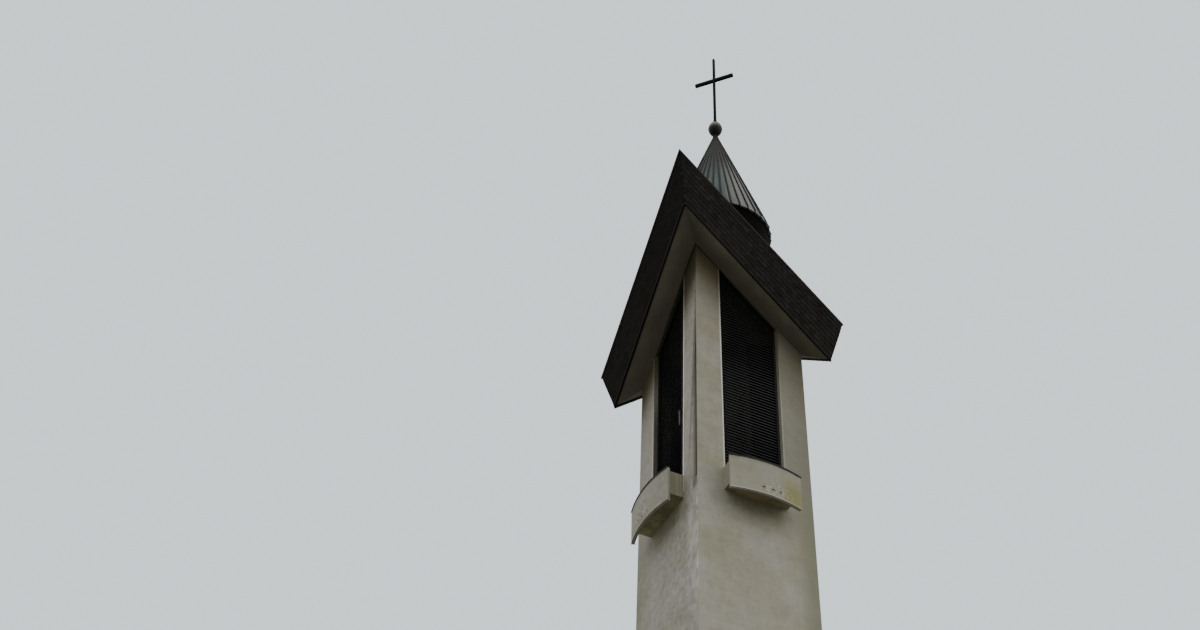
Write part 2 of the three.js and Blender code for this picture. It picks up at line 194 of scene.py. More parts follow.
# Finial: profiles as (radius, rise) over the collar's foot, the ball's middle and the ball's top
COLLAR_FOOT = CONE_HIGH.z - 0.075
COLLAR = (
    (0.0, 0.0), (0.084, 0.0), (0.088, 0.015), (0.078, 0.04), (0.064, 0.075), (0.060, 0.105), (0.066, 0.135),
    (0.0, 0.135),
)
BALL_MIDDLE = (BALL_LOW.z + BALL_HIGH.z) / 2
BALL_STRETCH = 1.32
BALL_BELT = (
    (BALL_HIGH.x - 0.01, -0.016), (BALL_HIGH.x + 0.006, -0.010), (BALL_HIGH.x + 0.006, 0.010),
    (BALL_HIGH.x - 0.01, 0.016),
)
CROSS_SOCKET = ((0.0, -0.02), (0.085, -0.02), (0.078, 0.012), (0.060, 0.022), (0.058, 0.10), (0.0, 0.10))
CROSS_POST = 0.075
CROSS_POST_ROUNDING = 0.008
CROSS_SUNK = 0.03
CROSS_POINT = 0.085
CROSS_POINT_END = 0.004
CROSS_ARM = Vector((1.24, 0.09, 0.11))
CROSS_ARM_ROUNDING = 0.009
CROSS_ARM_LEVEL = 35.49
CROSS_HEADING = math.radians(-49)

# Roof: the caps over its ridge and the sheet under its fascias
CAP_START = 0.16
CAP_LENGTH = 0.28
CAP_LAP = 0.04
CAP_HALF = 0.14
CAP_THICKNESS = 0.012
CAP_PROUD_INNER = 0.024
CAP_PROUD_OUTER = 0.036
CAP_END_PALENESS = 0.7
TRIM_HEIGHT = 0.03
TRIM_DROP = 0.006
TRIM_PROUD = 0.026
TRIM_BACK = 0.04

# Shingles
TILE_WIDTH = 0.20
TILE_EXPOSED = 0.125
TILE_LAP = 0.03
TILE_JOINT = 0.007
TILE_LEAST = 0.01
TILE_WOBBLE = 0.004
TILE_FOOT_PROUD = 0.020
TILE_HEAD_PROUD = 0.006
TILE_BACK = -0.004
TILE_SEED = 11
FASCIA_FOOT_MARGIN = 0.005
FASCIA_TOP_MARGIN = 0.055
ROOF_FOOT_MARGIN = 0.12
ROOF_TOP_MARGIN = TILE_EXPOSED / 2
ROOF_TILE_INSET = 0.07
DRUM_TILES = 46
DRUM_TILE_FLATNESS = 0.2

# Service door: each box's start and end across the leaf, out from its face and up from the ground,
# and its rounding
DOOR_WIDTH = DOOR_HIGH.x - DOOR_LOW.x
LATCH = (
    ((0.050, 0.090), (-0.002, 0.006), (0.930, 1.130), 0.003),
    ((0.058, 0.082), (0.000, 0.055), (1.038, 1.062), 0.006),
    ((0.058, 0.190), (0.037, 0.055), (1.038, 1.062), 0.008),
)
DOOR_PANELS = (
    ((0.03, DOOR_WIDTH - 0.03), (-0.002, 0.004), (0.03, 0.24), 0.002),
    ((0.12, DOOR_WIDTH - 0.10), (-0.004, 0.008), (0.32, 1.02), 0.006),
    ((0.12, DOOR_WIDTH - 0.10), (-0.004, 0.008), (1.12, DOOR_HIGH.z - 0.12), 0.006),
)
HINGE_LEVELS = (0.28, 1.05, 1.82)
HINGE_RADIUS = 0.011
HINGE_HEIGHT = 0.11
HINGE_INSET = 0.004
HINGE_PROUD = 0.008


# Pieces

def placed(name, data):
    """A new object in the scene."""
    made = bpy.data.objects.new(name, data)
    bpy.context.scene.collection.objects.link(made)
    return made


def mesh_of(name, bm, material):
    mesh = bpy.data.meshes.new(name)
    bm.to_mesh(mesh)
    bm.free()
    mesh.materials.append(material)
    return mesh


def finished(name, bm, material, stands_for=None):
    """Makes the piece's object, which rides on the tower and takes its finish from a slot."""
    bm.normal_update()
    for face in bm.faces:
        face.smooth = True
    for edge in bm.edges:
        edge.smooth = len(edge.link_faces) == 2 and edge.calc_face_angle(math.pi) < SHARP_EDGE
    piece = placed(name, mesh_of(name, bm, material))
    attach(piece, "root")
    if stands_for:
        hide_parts(stands_for)


def box_corners(bm):
    """The vertices of a new box, each with three flags: whether it's at the +X, +Y and +Z ends."""
    verts = bmesh.ops.create_cube(bm, size=1.0)["verts"]
    return [(vert, vert.co.x > 0, vert.co.y > 0, vert.co.z > 0) for vert in verts]


def rounded(bm, edges, offset, segments=2):
    """Rounds edges and returns the new vertices."""
    return bmesh.ops.bevel(
        bm, geom=edges, offset=offset, offset_type="OFFSET", segments=segments, profile=0.5,
        affect="EDGES", material=-1,
    )["verts"]


def bar(bm, low, high, rounding, segments=2):
    """A box between two corners with rounded edges. Returns its vertices."""
    low = Vector(low)
    high = Vector(high)
    place = Matrix.Translation((low + high) / 2) @ Matrix.Diagonal((*(high - low), 1.0))
    verts = bmesh.ops.create_cube(bm, size=1.0, matrix=place)["verts"]
    edges = list({edge for vert in verts for edge in vert.link_edges})
    added = rounded(bm, edges, rounding, segments)
    return list({vert for vert in verts if vert.is_valid} | set(added))


def spun(bm, profile, steps, start=0.0, sweep=2 * math.pi, centre=(0.0, 0.0, 0.0), closed=False):
    """Turns a profile of (radius, height) points about an upright axis."""
    full = abs(sweep - 2 * math.pi) < 1e-6
    turn = Matrix.Rotation(start, 4, "Z")
    middle = Vector(centre)
    verts = [bm.verts.new(turn @ Vector((radius, 0.0, height)) + middle) for radius, height in profile]
    edges = [bm.edges.new(pair) for pair in zip(verts, verts[1:])]
    geometry = verts + edges
    if closed:
        geometry.append(bm.edges.new((verts[-1], verts[0])))
        if not full:
            geometry.append(bm.faces.new(verts))
    bmesh.ops.spin(
        bm, geom=geometry, cent=centre, axis=(0, 0, 1), dvec=(0, 0, 0), angle=sweep,
        steps=steps, use_merge=full, use_normal_flip=False, use_duplicate=False,
    )
    bmesh.ops.remove_doubles(bm, verts=bm.verts, dist=1e-5)
    bmesh.ops.recalc_face_normals(bm, faces=bm.faces)


def raised(profile, level):
    """A profile of (radius, rise) points over a level."""
    return [(radius, level + rise) for radius, rise in profile]


def join(bm, other):
    """Adds another bmesh's faces and frees it."""
    mesh = bpy.data.meshes.new("joined")
    other.to_mesh(mesh)
    other.free()
    bm.from_mesh(mesh)
    bpy.data.meshes.remove(mesh)


def turned(bm, angle):
    """Turns everything about the tower's axis."""
    bmesh.ops.rotate(bm, verts=bm.verts, cent=(0, 0, 0), matrix=Matrix.Rotation(angle, 3, "Z"))


def quarters(side):
    """The angle from the side that faces -Y to another side."""
    return side * math.pi / 2


def side_point(side, along, inwards, z):
    """A point of one leaning wall: along it, into it and its height."""
    return Matrix.Rotation(quarters(side), 3, "Z") @ Vector((along, inwards - half_width(z), z))


# Materials

class Wire:
    """A shader socket that can stand in a sum, so that 1 - mask adds its Math node."""

    def __init__(self, paint, socket):
        self.paint = paint
        self.socket = socket

    def __add__(self, other):
        return self.paint.math("ADD", self, other)

    def __sub__(self, other):
        return self.paint.math("SUBTRACT", self, other)

    def __rsub__(self, other):
        return self.paint.math("SUBTRACT", other, self)

    def __mul__(self, other):
        return self.paint.math("MULTIPLY", self, other)

    def __abs__(self):
        return self.paint.math("ABSOLUTE", self)

    __radd__ = __add__
    __rmul__ = __mul__

    def step(self, low, high):
        """0 below the low value and 1 above the high one, with a smooth ramp between them."""
        return self.paint.node(
            "ShaderNodeMapRange", {"interpolation_type": "SMOOTHSTEP"},
            {"Value": self, "From Min": low, "From Max": high},
        )

    def band(self, centre, half, soft):
        """1 within half of the centre, and 0 beyond a soft edge."""
        return 1 - abs(self - centre).step(half, half + soft)


class Paint:
    """The nodes of one material, or of the world."""

    def __init__(self, name, for_world=False):
        self.block = (bpy.data.worlds if for_world else bpy.data.materials).new(name)
        self.block.use_nodes = True
        self.tree = self.block.node_tree
        self.tree.nodes.clear()
        self.place = self.node("ShaderNodeTexCoord", {}, {}, "Generated" if for_world else "Object")
        self.x, self.y, self.z = (
            self.node("ShaderNodeSeparateXYZ", {}, {"Vector": self.place}, axis) for axis in "XYZ"
        )

    def node(self, kind, settings, sockets, output=0):
        """Adds a node, sets it, fills or links its sockets and returns one of its outputs."""
        made = self.tree.nodes.new(kind)
        for setting, value in settings.items():
            setattr(made, setting, value)
        for socket, value in sockets.items():
            self.fill(made.inputs[socket], value)
        return Wire(self, made.outputs[output])

    def fill(self, socket, value):
        if isinstance(value, Wire):
            self.tree.links.new(value.socket, socket)
        elif socket.type == "RGBA":
            socket.default_value = (*value, 1.0)
        else:
            socket.default_value = value

    def math(self, operation, first, second=0.0):
        return self.node("ShaderNodeMath", {"operation": operation}, {0: first, 1: second})

    def noise(self, scale, detail=3.0, roughness=0.5, stretch=(1.0, 1.0, 1.0), offset=(0.0, 0.0, 0.0)):
        """Noise from 0 to 1 about a middle of 0.5, stretched where a factor is under 1."""
        moved = self.node(
            "ShaderNodeMapping", {}, {"Vector": self.place, "Scale": stretch, "Location": offset},
        )
        return self.node(
            "ShaderNodeTexNoise", {},
            {"Vector": moved, "Scale": scale, "Detail": detail, "Roughness": roughness},
        )

    def mix(self, factor, first, second):
        return self.node("ShaderNodeMix", {"data_type": "RGBA"}, {0: factor, 6: first, 7: second}, 2)

    def shade(self, colour, brightness):
        """A colour made lighter or darker by a factor."""
        return self.node("ShaderNodeVectorMath", {"operation": "SCALE"}, {0: colour, "Scale": brightness})

    def attribute(self, name):
        return self.node("ShaderNodeAttribute", {"attribute_name": name}, {}, "Fac")

    def finish(self, colour, roughness, gloss=0.5, metal=0.0, relief=None):
        """Sets the surface's sockets and returns the material. A relief is a height and its depth."""
        sockets = {
            "Base Color": colour, "Roughness": roughness, "Specular IOR Level": gloss, "Metallic": metal,
        }
        if relief:
            relief = dict(zip(("Height", "Distance"), relief))
            sockets["Normal"] = self.node("ShaderNodeBump", {}, relief, "Normal")
        return self.end("ShaderNodeOutputMaterial", self.node("ShaderNodeBsdfPrincipled", {}, sockets))

    def end(self, kind, surface):
        """Links a shader to the last node and returns the material or the world."""
        self.fill(self.tree.nodes.new(kind).inputs["Surface"], surface)
        return self.block


# Tones of the render, of what lies on it, and of the light and shade painted on it
RENDER = (0.425, 0.405, 0.308)
RENDER_OLIVE = (0.24, 0.242, 0.165)
RENDER_COOL = (0.44, 0.43, 0.375)
RENDER_PALE = (0.66, 0.65, 0.59)
# Painted shadow of the eave
EAVE_SHADOW_TONE = (0.165, 0.16, 0.13)
ARRIS_WHITE = (0.74, 0.73, 0.67)
GRIME = (0.25, 0.212, 0.102)
# Painted light under the left balcony
PAINTED_LIGHT_UNDER_LEFT_BALCONY = (0.56, 0.52, 0.36)
# Soot together with painted shade below the ceiling
SOOT_AND_SHADE = (0.085, 0.074, 0.036)
BLACK_SOOT_AND_SHADE = (0.030, 0.026, 0.013)
# Dirt together with painted shade in recesses and by the walls under the soffit
DIRT_AND_SHADE = (0.055, 0.05, 0.032)
LICHEN = (0.215, 0.207, 0.05)
LICHEN_RUST = (0.36, 0.235, 0.17)
SCRATCH = (0.20, 0.19, 0.15)
# Painted shade on the parapets' undersides
LIP_UNDERSIDE = (0.15, 0.142, 0.092)
LIP_UNDERSIDE_LEFT = (0.175, 0.168, 0.112)
CHEEK_DAMP = (0.262, 0.250, 0.175)
CHEEK_DRY = (0.33, 0.32, 0.24)
CHEEK_RIGHT = (0.37, 0.355, 0.27)
UNDER_BROWN = (0.19, 0.184, 0.10)
UNDER_OCHRE = (0.27, 0.26, 0.145)
UNDER_RUST = (0.42, 0.30, 0.14)
BEAD_PALE = (0.74, 0.73, 0.66)
BEAD_STAINED = (0.60, 0.59, 0.52)
# Painted highlight of the left beads
BEAD_PAINTED_HIGHLIGHT = (0.90, 0.89, 0.84)
BEAD_OUTER = (0.36, 0.345, 0.285)
BEAD_OUTER_LEFT = (0.62, 0.60, 0.54)
SOFFIT_CLEAN = (0.176, 0.171, 0.118)
SOFFIT_SOOTY = (0.134, 0.129, 0.088)

# Tones of the shingles, the sheet metal, the paint and the iron
SHINGLE_DARK = (0.0115, 0.0100, 0.0090)
SHINGLE_BROWN = (0.0365, 0.0305, 0.0260)
SHINGLE_MOSSY = (0.028, 0.026, 0.017)
LOUVRE_CLEAN = (0.010, 0.0105, 0.012)
LOUVRE_DUSTY = (0.019, 0.0185, 0.018)
# Painted shade of the left louvres
LOUVRE_PAINTED_SHADE = (0.004, 0.0035, 0.003)
FLASHING_BROWN = (0.022, 0.016, 0.012)
FLASHING_DULL = (0.050, 0.037, 0.028)
COPING_DARK = (0.012, 0.011, 0.009)
COPING_MARK = (0.040, 0.037, 0.031)
PATINA_DARK = (0.086, 0.102, 0.097)
PATINA_PALE = (0.180, 0.198, 0.186)
PATINA_WARM = (0.212, 0.205, 0.192)
PATINA_COOL = (0.066, 0.096, 0.094)
# Painted shadow beside the cone's seams
SEAM_SHADOW_TONE = (0.012, 0.013, 0.013)
CONE_TOP_DIRT = (0.030, 0.030, 0.027)
BALL_GREY = (0.125, 0.125, 0.112)
# Tarnish with a painted reflection of the ground
BALL_TARNISH_AND_REFLECTION = (0.016, 0.012, 0.009)
STEEL_DULL = (0.12, 0.118, 0.11)
STEEL_BRIGHT = (0.19, 0.186, 0.175)
ARM_PAINT = (0.010, 0.010, 0.010)
IRON_BLACK = (0.003, 0.003, 0.0035)
IRON_RUST = (0.012, 0.008, 0.006)
DOOR_GREEN = (0.045, 0.052, 0.050)
DOOR_DUST = (0.12, 0.108, 0.085)
SLOT_BLACK = (0.010, 0.009, 0.007)
SLOT_CRUST = (0.030, 0.026, 0.018)

# Where the weathering, the painted shade and the painted reflection lie
UNDER_BALCONY = TROUGH_LOW.z
SLIT_FOOT = 17.52
SLIT_TOP = 24.26
SLIT_SPAN = 0.52
TARNISH_AND_REFLECTION_LEVEL = 33.16


def left_half(paint):
    """1 on the left of the ridge, where the tower is seen from its near corner, and 0 on the right."""
    return (paint.y - paint.x).step(-0.01, 0.01)


def wall_coordinates(paint):
    """Whether a place is left of the ridge and on the front left side, and its distance along its side."""
    left = left_half(paint)
    facing_y = (abs(paint.y) - abs(paint.x)).step(-0.01, 0.01)
    along = paint.y + (paint.x - paint.y) * facing_y
    return left, left * (1 - facing_y), along


def below_ceiling(paint):
    """Distance of a place below the belfry's ceiling."""
    fall = abs(paint.x - paint.y) * (ROOF_FALL * DIAGONAL)
    return PIER_TOP - fall - paint.z


def render_ground(paint, left, along):
    """The render's mottled colour, patchier towards the near corner on the left, and its skin's height.
    Painted shade makes the left side darker and cooler; in the belfry it darkens the right piers, and painted
    light lifts the left ones.
    """
    cloudy = paint.noise(0.8, 4.0, 0.6)
    blotchy = paint.noise(3.2, 4.0, 0.65, (1.0, 1.0, 0.75))
    grain = paint.noise(38.0, 2.0, 0.6)
    tides = paint.noise(1.5, 4.0, 0.6, (0.35, 0.35, 3.2))
    streaks = paint.noise(5.5, 2.0, 0.5, (1.0, 1.0, 0.06))
    strokes = paint.noise(8.0, 5.0, 0.7, (1.0, 0.8, 0.55), (0.3, 0.1, 0.7))
    mottle = paint.noise(5.5, 3.0, 0.7, (1.0, 1.0, 1.3), (1.3, 2.1, 0.4))
    uneven = 0.26 * (cloudy - 0.5) + 0.30 * (blotchy - 0.5) + 0.15 * (tides - 0.5)
    belfry = paint.z.step(17.0, 18.2)
    rough = left * (1 - 0.45 * along.step(-0.9, 0.3))
    # Painted light and shade: the left side darker, and in the belfry the right piers darker and the left
    # ones lighter
    brightness = (
        0.93 - 0.085 * left + (0.11 * left - 0.07) * belfry + uneven
        + 0.08 * (streaks - 0.5) + 0.16 * (grain - 0.5)
        + (0.22 + 0.60 * rough * (1 - 0.5 * belfry)) * (strokes - 0.5)
        + (0.20 + 0.60 * rough * (1 - 0.8 * belfry)) * (mottle - 0.5)
    )
    cool = (cloudy + 0.3 * (tides - 0.5)).step(0.38, 0.62) * (0.75 + 0.25 * left)
    tone = paint.mix(cool, RENDER, RENDER_COOL)
    # Painted light: the left side cooler in tone, more so in the belfry
    tone = paint.mix(left * (0.35 + 0.35 * belfry), tone, RENDER_COOL)
    height = grain * 0.25 + strokes * (0.25 + 0.75 * rough) + tides * 0.3
    return paint.shade(tone, brightness), height, blotchy, streaks, grain


def wall_render():
    """Grey-beige render, olive at its far edges. Dirt with painted shade darkens it beside the slit, on the
    openings' sides and below the ceiling; painted light pales it under the left balcony.
    """
    paint = Paint("wall_render")
    left, front_left, along = wall_coordinates(paint)
    colour, height, blotchy, streaks, grain = render_ground(paint, left, along)
    belfry = paint.z.step(17.6, 18.4)
    far_edge = along.step(0.95, 1.60) * (0.55 + 0.6 * blotchy) * (1 - left * 0.6) * (1 - belfry * 0.5)
    colour = paint.mix(far_edge, colour, RENDER_OLIVE)
    # Painted shadow of the eave on the far pier of the right side
    far_pier = along.step(0.8, 0.95) * belfry * (1 - left)
    colour = paint.mix(far_pier * 0.42, colour, EAVE_SHADOW_TONE)
    arris = front_left * along.band(-1.42, 0.12, 0.28) * paint.z.band(15.3, 1.0, 1.4)
    colour = paint.mix(arris * blotchy.step(0.35, 0.65) * 0.5, colour, RENDER_PALE)
    from_corner = along + half_width(paint.z)
    corner = front_left * (1 - from_corner.step(0.045, 0.09)) * paint.z.band(15.6, 1.3, 0.3)
    colour = paint.mix(corner * blotchy.step(0.40, 0.55) * 0.7, colour, ARRIS_WHITE)
    # A brown stain under the right balcony; under the left one a pale tone, painted light that lifts the
    # balcony's shade
    stain = paint.mix(left, GRIME, PAINTED_LIGHT_UNDER_LEFT_BALCONY)
    colour = paint.mix(stain_and_painted_light_below_balcony(paint, along, blotchy), colour, stain)
    # Soot and painted shade below the ceiling, where the roof's overhang shades the walls; blackest at the
    # top of the near left pier
    near_left = front_left * (1 - along.step(-0.8, 0.0))
    below = (below_ceiling(paint) + 0.4 * (blotchy - 0.5) - 0.12 - 0.55 * near_left) * (1 + 0.4 * left)
    soot_and_shade = 0.97 - 0.80 * below.step(0.2, 2.6) - 0.17 * below.step(1.6, 5.6)
    colour = paint.mix(soot_and_shade * (1 - 0.35 * far_pier), colour, SOOT_AND_SHADE)
    blackest = near_left * belfry * (1 - below.step(0.0, 1.0))
    colour = paint.mix(blackest * 0.6, colour, BLACK_SOOT_AND_SHADE)
    # Dirt and painted shade in the slit beside the near corner
    colour = paint.mix(slit_dirt_and_shade(paint), colour, DIRT_AND_SHADE)
    # Dirt and painted shade at the slit's foot
    smear_and_shade = front_left * from_corner.band(0.14, 0.05, 0.12) * paint.z.band(SLIT_FOOT - 0.02, 0.08, 0.16)
    colour = paint.mix(smear_and_shade * 0.6, colour, DIRT_AND_SHADE)
    # Dirt and painted shade on the sides of the openings on the left, less towards the top
    jamb_dirt_and_shade = 0.8 - 0.6 * paint.z.step(21.2, 22.7)
    colour = paint.mix(dark_jamb(paint, along) * left * jamb_dirt_and_shade, colour, DIRT_AND_SHADE)
    drip = abs(along).band(0.98, 0.03, 0.14) * paint.z.band(15.6, 1.6, 0.4)
    colour = paint.mix(drip * streaks.step(0.35, 0.7) * 0.22, colour, GRIME)
    return paint.finish(
        colour, roughness=0.84 + 0.12 * (grain - 0.5), gloss=0.2,
        relief=(height, 0.016),
    )


def stain_and_painted_light_below_balcony(paint, along, blotchy):
    """Mask of the patch on the wall under a balcony: a brown stain under the right one, and under the left
    one a pale tone of painted light.
    """
    below = UNDER_BALCONY - paint.z
    runs = paint.noise(7.0, 2.0, 0.5, (1.0, 1.0, 0.10), (0.2, 0.4, 0.0))
    reach = below + 0.45 * (blotchy - 0.5) - 0.15 * runs.step(0.4, 0.8)
    near = 0.62 - 0.50 * reach.step(-0.05, 0.55) - 0.12 * reach.step(0.4, 1.5)
    return near * below.step(-0.02, 0.02) * along.band(0.0, 0.70, 0.30)


def slit_dirt_and_shade(paint):
    """Mask of the dirt and painted shade in the slit beside the near corner: darkest along its fin, deep in
    the slit.
    """
    half = half_width(paint.z)
    depth = paint.x + half
    from_corner = paint.y + half
    inside = depth.step(0.001, 0.006) * (1 - depth.step(0.13, 0.14))
    beside = from_corner.step(0.006, 0.011) * (1 - from_corner.step(SLIT_SPAN, SLIT_SPAN + 0.08))
    rows = paint.z.band((SLIT_FOOT + SLIT_TOP) / 2, (SLIT_TOP - SLIT_FOOT) / 2, 0.02)
    return inside * beside * rows * (0.03 + 0.92 * depth.step(0.03, 0.078))


def dark_jamb(paint, along):
    """Mask of the sides of an opening."""
    depth = half_width(paint.z) - paint.math("MAXIMUM", abs(paint.x), abs(paint.y))
    beside = 1 - abs(along).step(JAMB_HALF + 0.004, JAMB_HALF + 0.008)
    return depth.step(0.008, 0.03) * beside * paint.z.step(BELFRY_LEVEL, BELFRY_LEVEL + 0.01)


def parapet_render():
    """The render of the parapets, with worn marks about the slots and lichen at the far end. Painted shade
    darkens the left one and the undersides, and a painted highlight pales the lip.
    """
    paint = Paint("parapet_render")
    left, _, along = wall_coordinates(paint)
    colour, height, blotchy, streaks, grain = render_ground(paint, left, along)
    # Painted shade: the left parapet a little darker
    colour = paint.shade(colour, 0.84 - 0.026 * left)
    colour = paint.mix(0.25, colour, RENDER_OLIVE)
    above_foot = paint.z - PARAPET_LOW.z
    place = along + 0.4 * (blotchy - 0.5)
    growth = place.band(0.80, 0.15, 0.42) * (1 - above_foot.step(0.35, 1.05)) * (1 - left)
    colour = paint.mix(growth * 0.68, colour, LICHEN)
    rust = place.band(0.78, 0.06, 0.20) * above_foot.band(0.68, 0.05, 0.22) * (1 - left)
    colour = paint.mix(rust * 0.2, colour, LICHEN_RUST)
    worn = (above_foot * (1 - 0.5 * left)).band(0.24, 0.10, 0.12) * along.band(0.26, 0.32, 0.2)
    scratches = paint.noise(14.0, 3.0, 0.7, (1.0, 1.0, 0.8), (5.0, 2.0, 1.0))
    dark_marks = worn * scratches.step(0.50, 0.60) * (0.35 + 0.40 * left)
    colour = paint.mix(dark_marks, colour, SCRATCH)
    colour = paint.mix(worn * (1 - scratches.step(0.38, 0.46)) * 0.35, colour, RENDER_PALE)
    # Painted highlight along the lip, fainter on the left
    lip = above_foot.band(0.012, 0.012, 0.01) * (1 - 0.6 * left)
    colour = paint.mix(lip * (0.45 + 0.4 * blotchy), colour, RENDER_PALE)
    # Painted shade on the parapet's underside, lighter on the left
    underside = paint.mix(left, LIP_UNDERSIDE, LIP_UNDERSIDE_LEFT)
    colour = paint.mix((1 - above_foot.step(0.0005, 0.002)) * 0.85, colour, underside)
    top = paint.z.step(PARAPET_HIGH.z - 0.07, PARAPET_HIGH.z - 0.02)
    colour = paint.mix(top * streaks.step(0.4, 0.6) * 0.5, colour, RENDER_PALE)
    return paint.finish(
        colour, roughness=0.84 + 0.12 * (grain - 0.5), gloss=0.2,
        relief=(height, 0.012),
    )


def trough_render():
    """The olive and streaked render of the troughs, browner underneath, where painted light lifts the left
    underside.
    """
    paint = Paint("trough_render")
    left, _, along = wall_coordinates(paint)
    blotchy = paint.noise(4.0, 3.0, 0.6)
    streaks = paint.noise(11.0, 3.0, 0.6, (1.0, 1.0, 0.05))
    grain = paint.noise(36.0, 2.0, 0.6)
    cheek = paint.mix(streaks.step(0.36, 0.66), CHEEK_DAMP, CHEEK_DRY)
    cheek = paint.mix((1 - left) * 0.8, cheek, CHEEK_RIGHT)
    under = 1 - paint.z.step(UNDER_BALCONY + 0.002, UNDER_BALCONY + 0.015)
    brown = paint.mix(blotchy.step(0.4, 0.65), UNDER_BROWN, UNDER_OCHRE)
    rusty = along.band(-0.15, 0.20, 0.40) * (1 - left)
    brown = paint.mix(rusty * 0.4, brown, UNDER_RUST)
    # Painted light: the left trough's underside lighter
    brown = paint.shade(brown, 1 + 0.4 * left * along.step(-0.2, 0.7))
    colour = paint.mix(under, cheek, brown)
    return paint.finish(
        paint.shade(colour, 0.9 + 0.2 * grain), roughness=0.88, gloss=0.2,
        relief=(grain, 0.006),
    )


def soffit_plaster():
    """Plaster under the roof, with soot in patches, and painted shade towards the walls, along the ridge and
    on the left.
    """
    paint = Paint("soffit_plaster")
    cloudy = paint.noise(1.3, 4.0, 0.55)
    grain = paint.noise(30.0, 2.0, 0.6)
    left = left_half(paint)
    colour = paint.mix(cloudy.step(0.3, 0.7), SOFFIT_CLEAN, SOFFIT_SOOTY)
    # Painted shade by the walls, weaker on the left
    by_wall = (below_ceiling(paint) + 0.25 * (cloudy - 0.5)).step(-0.80, -0.15)
    colour = paint.mix(by_wall * (0.66 - 0.26 * left), colour, DIRT_AND_SHADE)
    # Painted shade along the ridge's crease and on the left side
    ridge = 1 - abs(paint.x - paint.y).step(0.1, 1.1)
    colour = paint.shade(colour, 1.10 - 0.16 * left - (0.28 - 0.14 * left) * ridge + 0.1 * (grain - 0.5))
    return paint.finish(colour, roughness=0.9, gloss=0.2, relief=(grain, 0.004))


def roof_shingle(name, bright, gloss, far_bright):
    """Dark brown fibre shingles, each with its own tone and paler towards its foot. Painted shade makes the
    near side darker than the far side where the two brightnesses differ.
    """
    paint = Paint(name)
    tone = paint.attribute("tone")
    low_edge = paint.attribute("low_edge")
    speckle = paint.noise(26.0, 3.0, 0.65)
    patches = paint.noise(0.7, 3.0, 0.5)
    colour = paint.mix(tone, SHINGLE_DARK, SHINGLE_BROWN)
    colour = paint.mix(patches.step(0.45, 0.75) * 0.4, colour, SHINGLE_MOSSY)
    # Painted shade: darker on the near side, up to the far side's brightness
    level = bright + (far_bright - bright) * paint.y.step(-0.3, 0.8)
    brightness = level * (0.60 + 0.40 * speckle + 0.40 * low_edge)
    return paint.finish(
        paint.shade(colour, brightness), roughness=0.80 + 0.2 * (speckle - 0.5),
        gloss=gloss, relief=(speckle, 0.003),
    )


def dark_louvre_paint():
    """Near-black satin paint, dusty in streaks, duller on the left and darker at the foot. Painted shade
    darkens it on the left and, on the right, at the top under the soffit.
    """
    paint = Paint("louvre_paint")
    left = left_half(paint)
    dust = paint.noise(4.0, 3.0, 0.6, (1.0, 1.0, 0.3))
    fine = paint.noise(45.0, 2.0, 0.5)
    colour = paint.mix(dust.step(0.45, 0.75), LOUVRE_CLEAN, LOUVRE_DUSTY)
    # Painted shade: the left louvres darker
    colour = paint.mix(left * 0.75, colour, LOUVRE_PAINTED_SHADE)
    # Painted shade at the top of the right louvres, under the soffit
    top = paint.z.step(21.5, 22.7) * (1 - left)
    foot = 1 - paint.z.step(19.2, 20.3)
    colour = paint.shade(colour, 1 - 0.42 * top - 0.3 * foot)
    return paint.finish(
        colour, roughness=0.44 + 0.2 * (dust - 0.5) + 0.45 * left + 0.3 * top + 0.2 * foot,
        gloss=0.35, relief=(fine, 0.0008),
    )


def brown_flashing(name, bright):
    """Brown coated sheet, dulled in streaks."""
    paint = Paint(name)
    dull = paint.noise(6.0, 3.0, 0.6, (1.0, 1.0, 0.4))
    colour = paint.mix(dull, FLASHING_BROWN, FLASHING_DULL)
    return paint.finish(paint.shade(colour, bright), gloss=0.2, roughness=0.6 + 0.25 * dull)


def dark_coping():
    """Dark sheet on the parapets, with pale water marks."""
    paint = Paint("dark_coping")
    marks = paint.noise(8.0, 3.0, 0.6)
    colour = paint.mix(marks.step(0.5, 0.75), COPING_DARK, COPING_MARK)
    return paint.finish(colour, gloss=0.2, roughness=0.5 + 0.3 * marks)


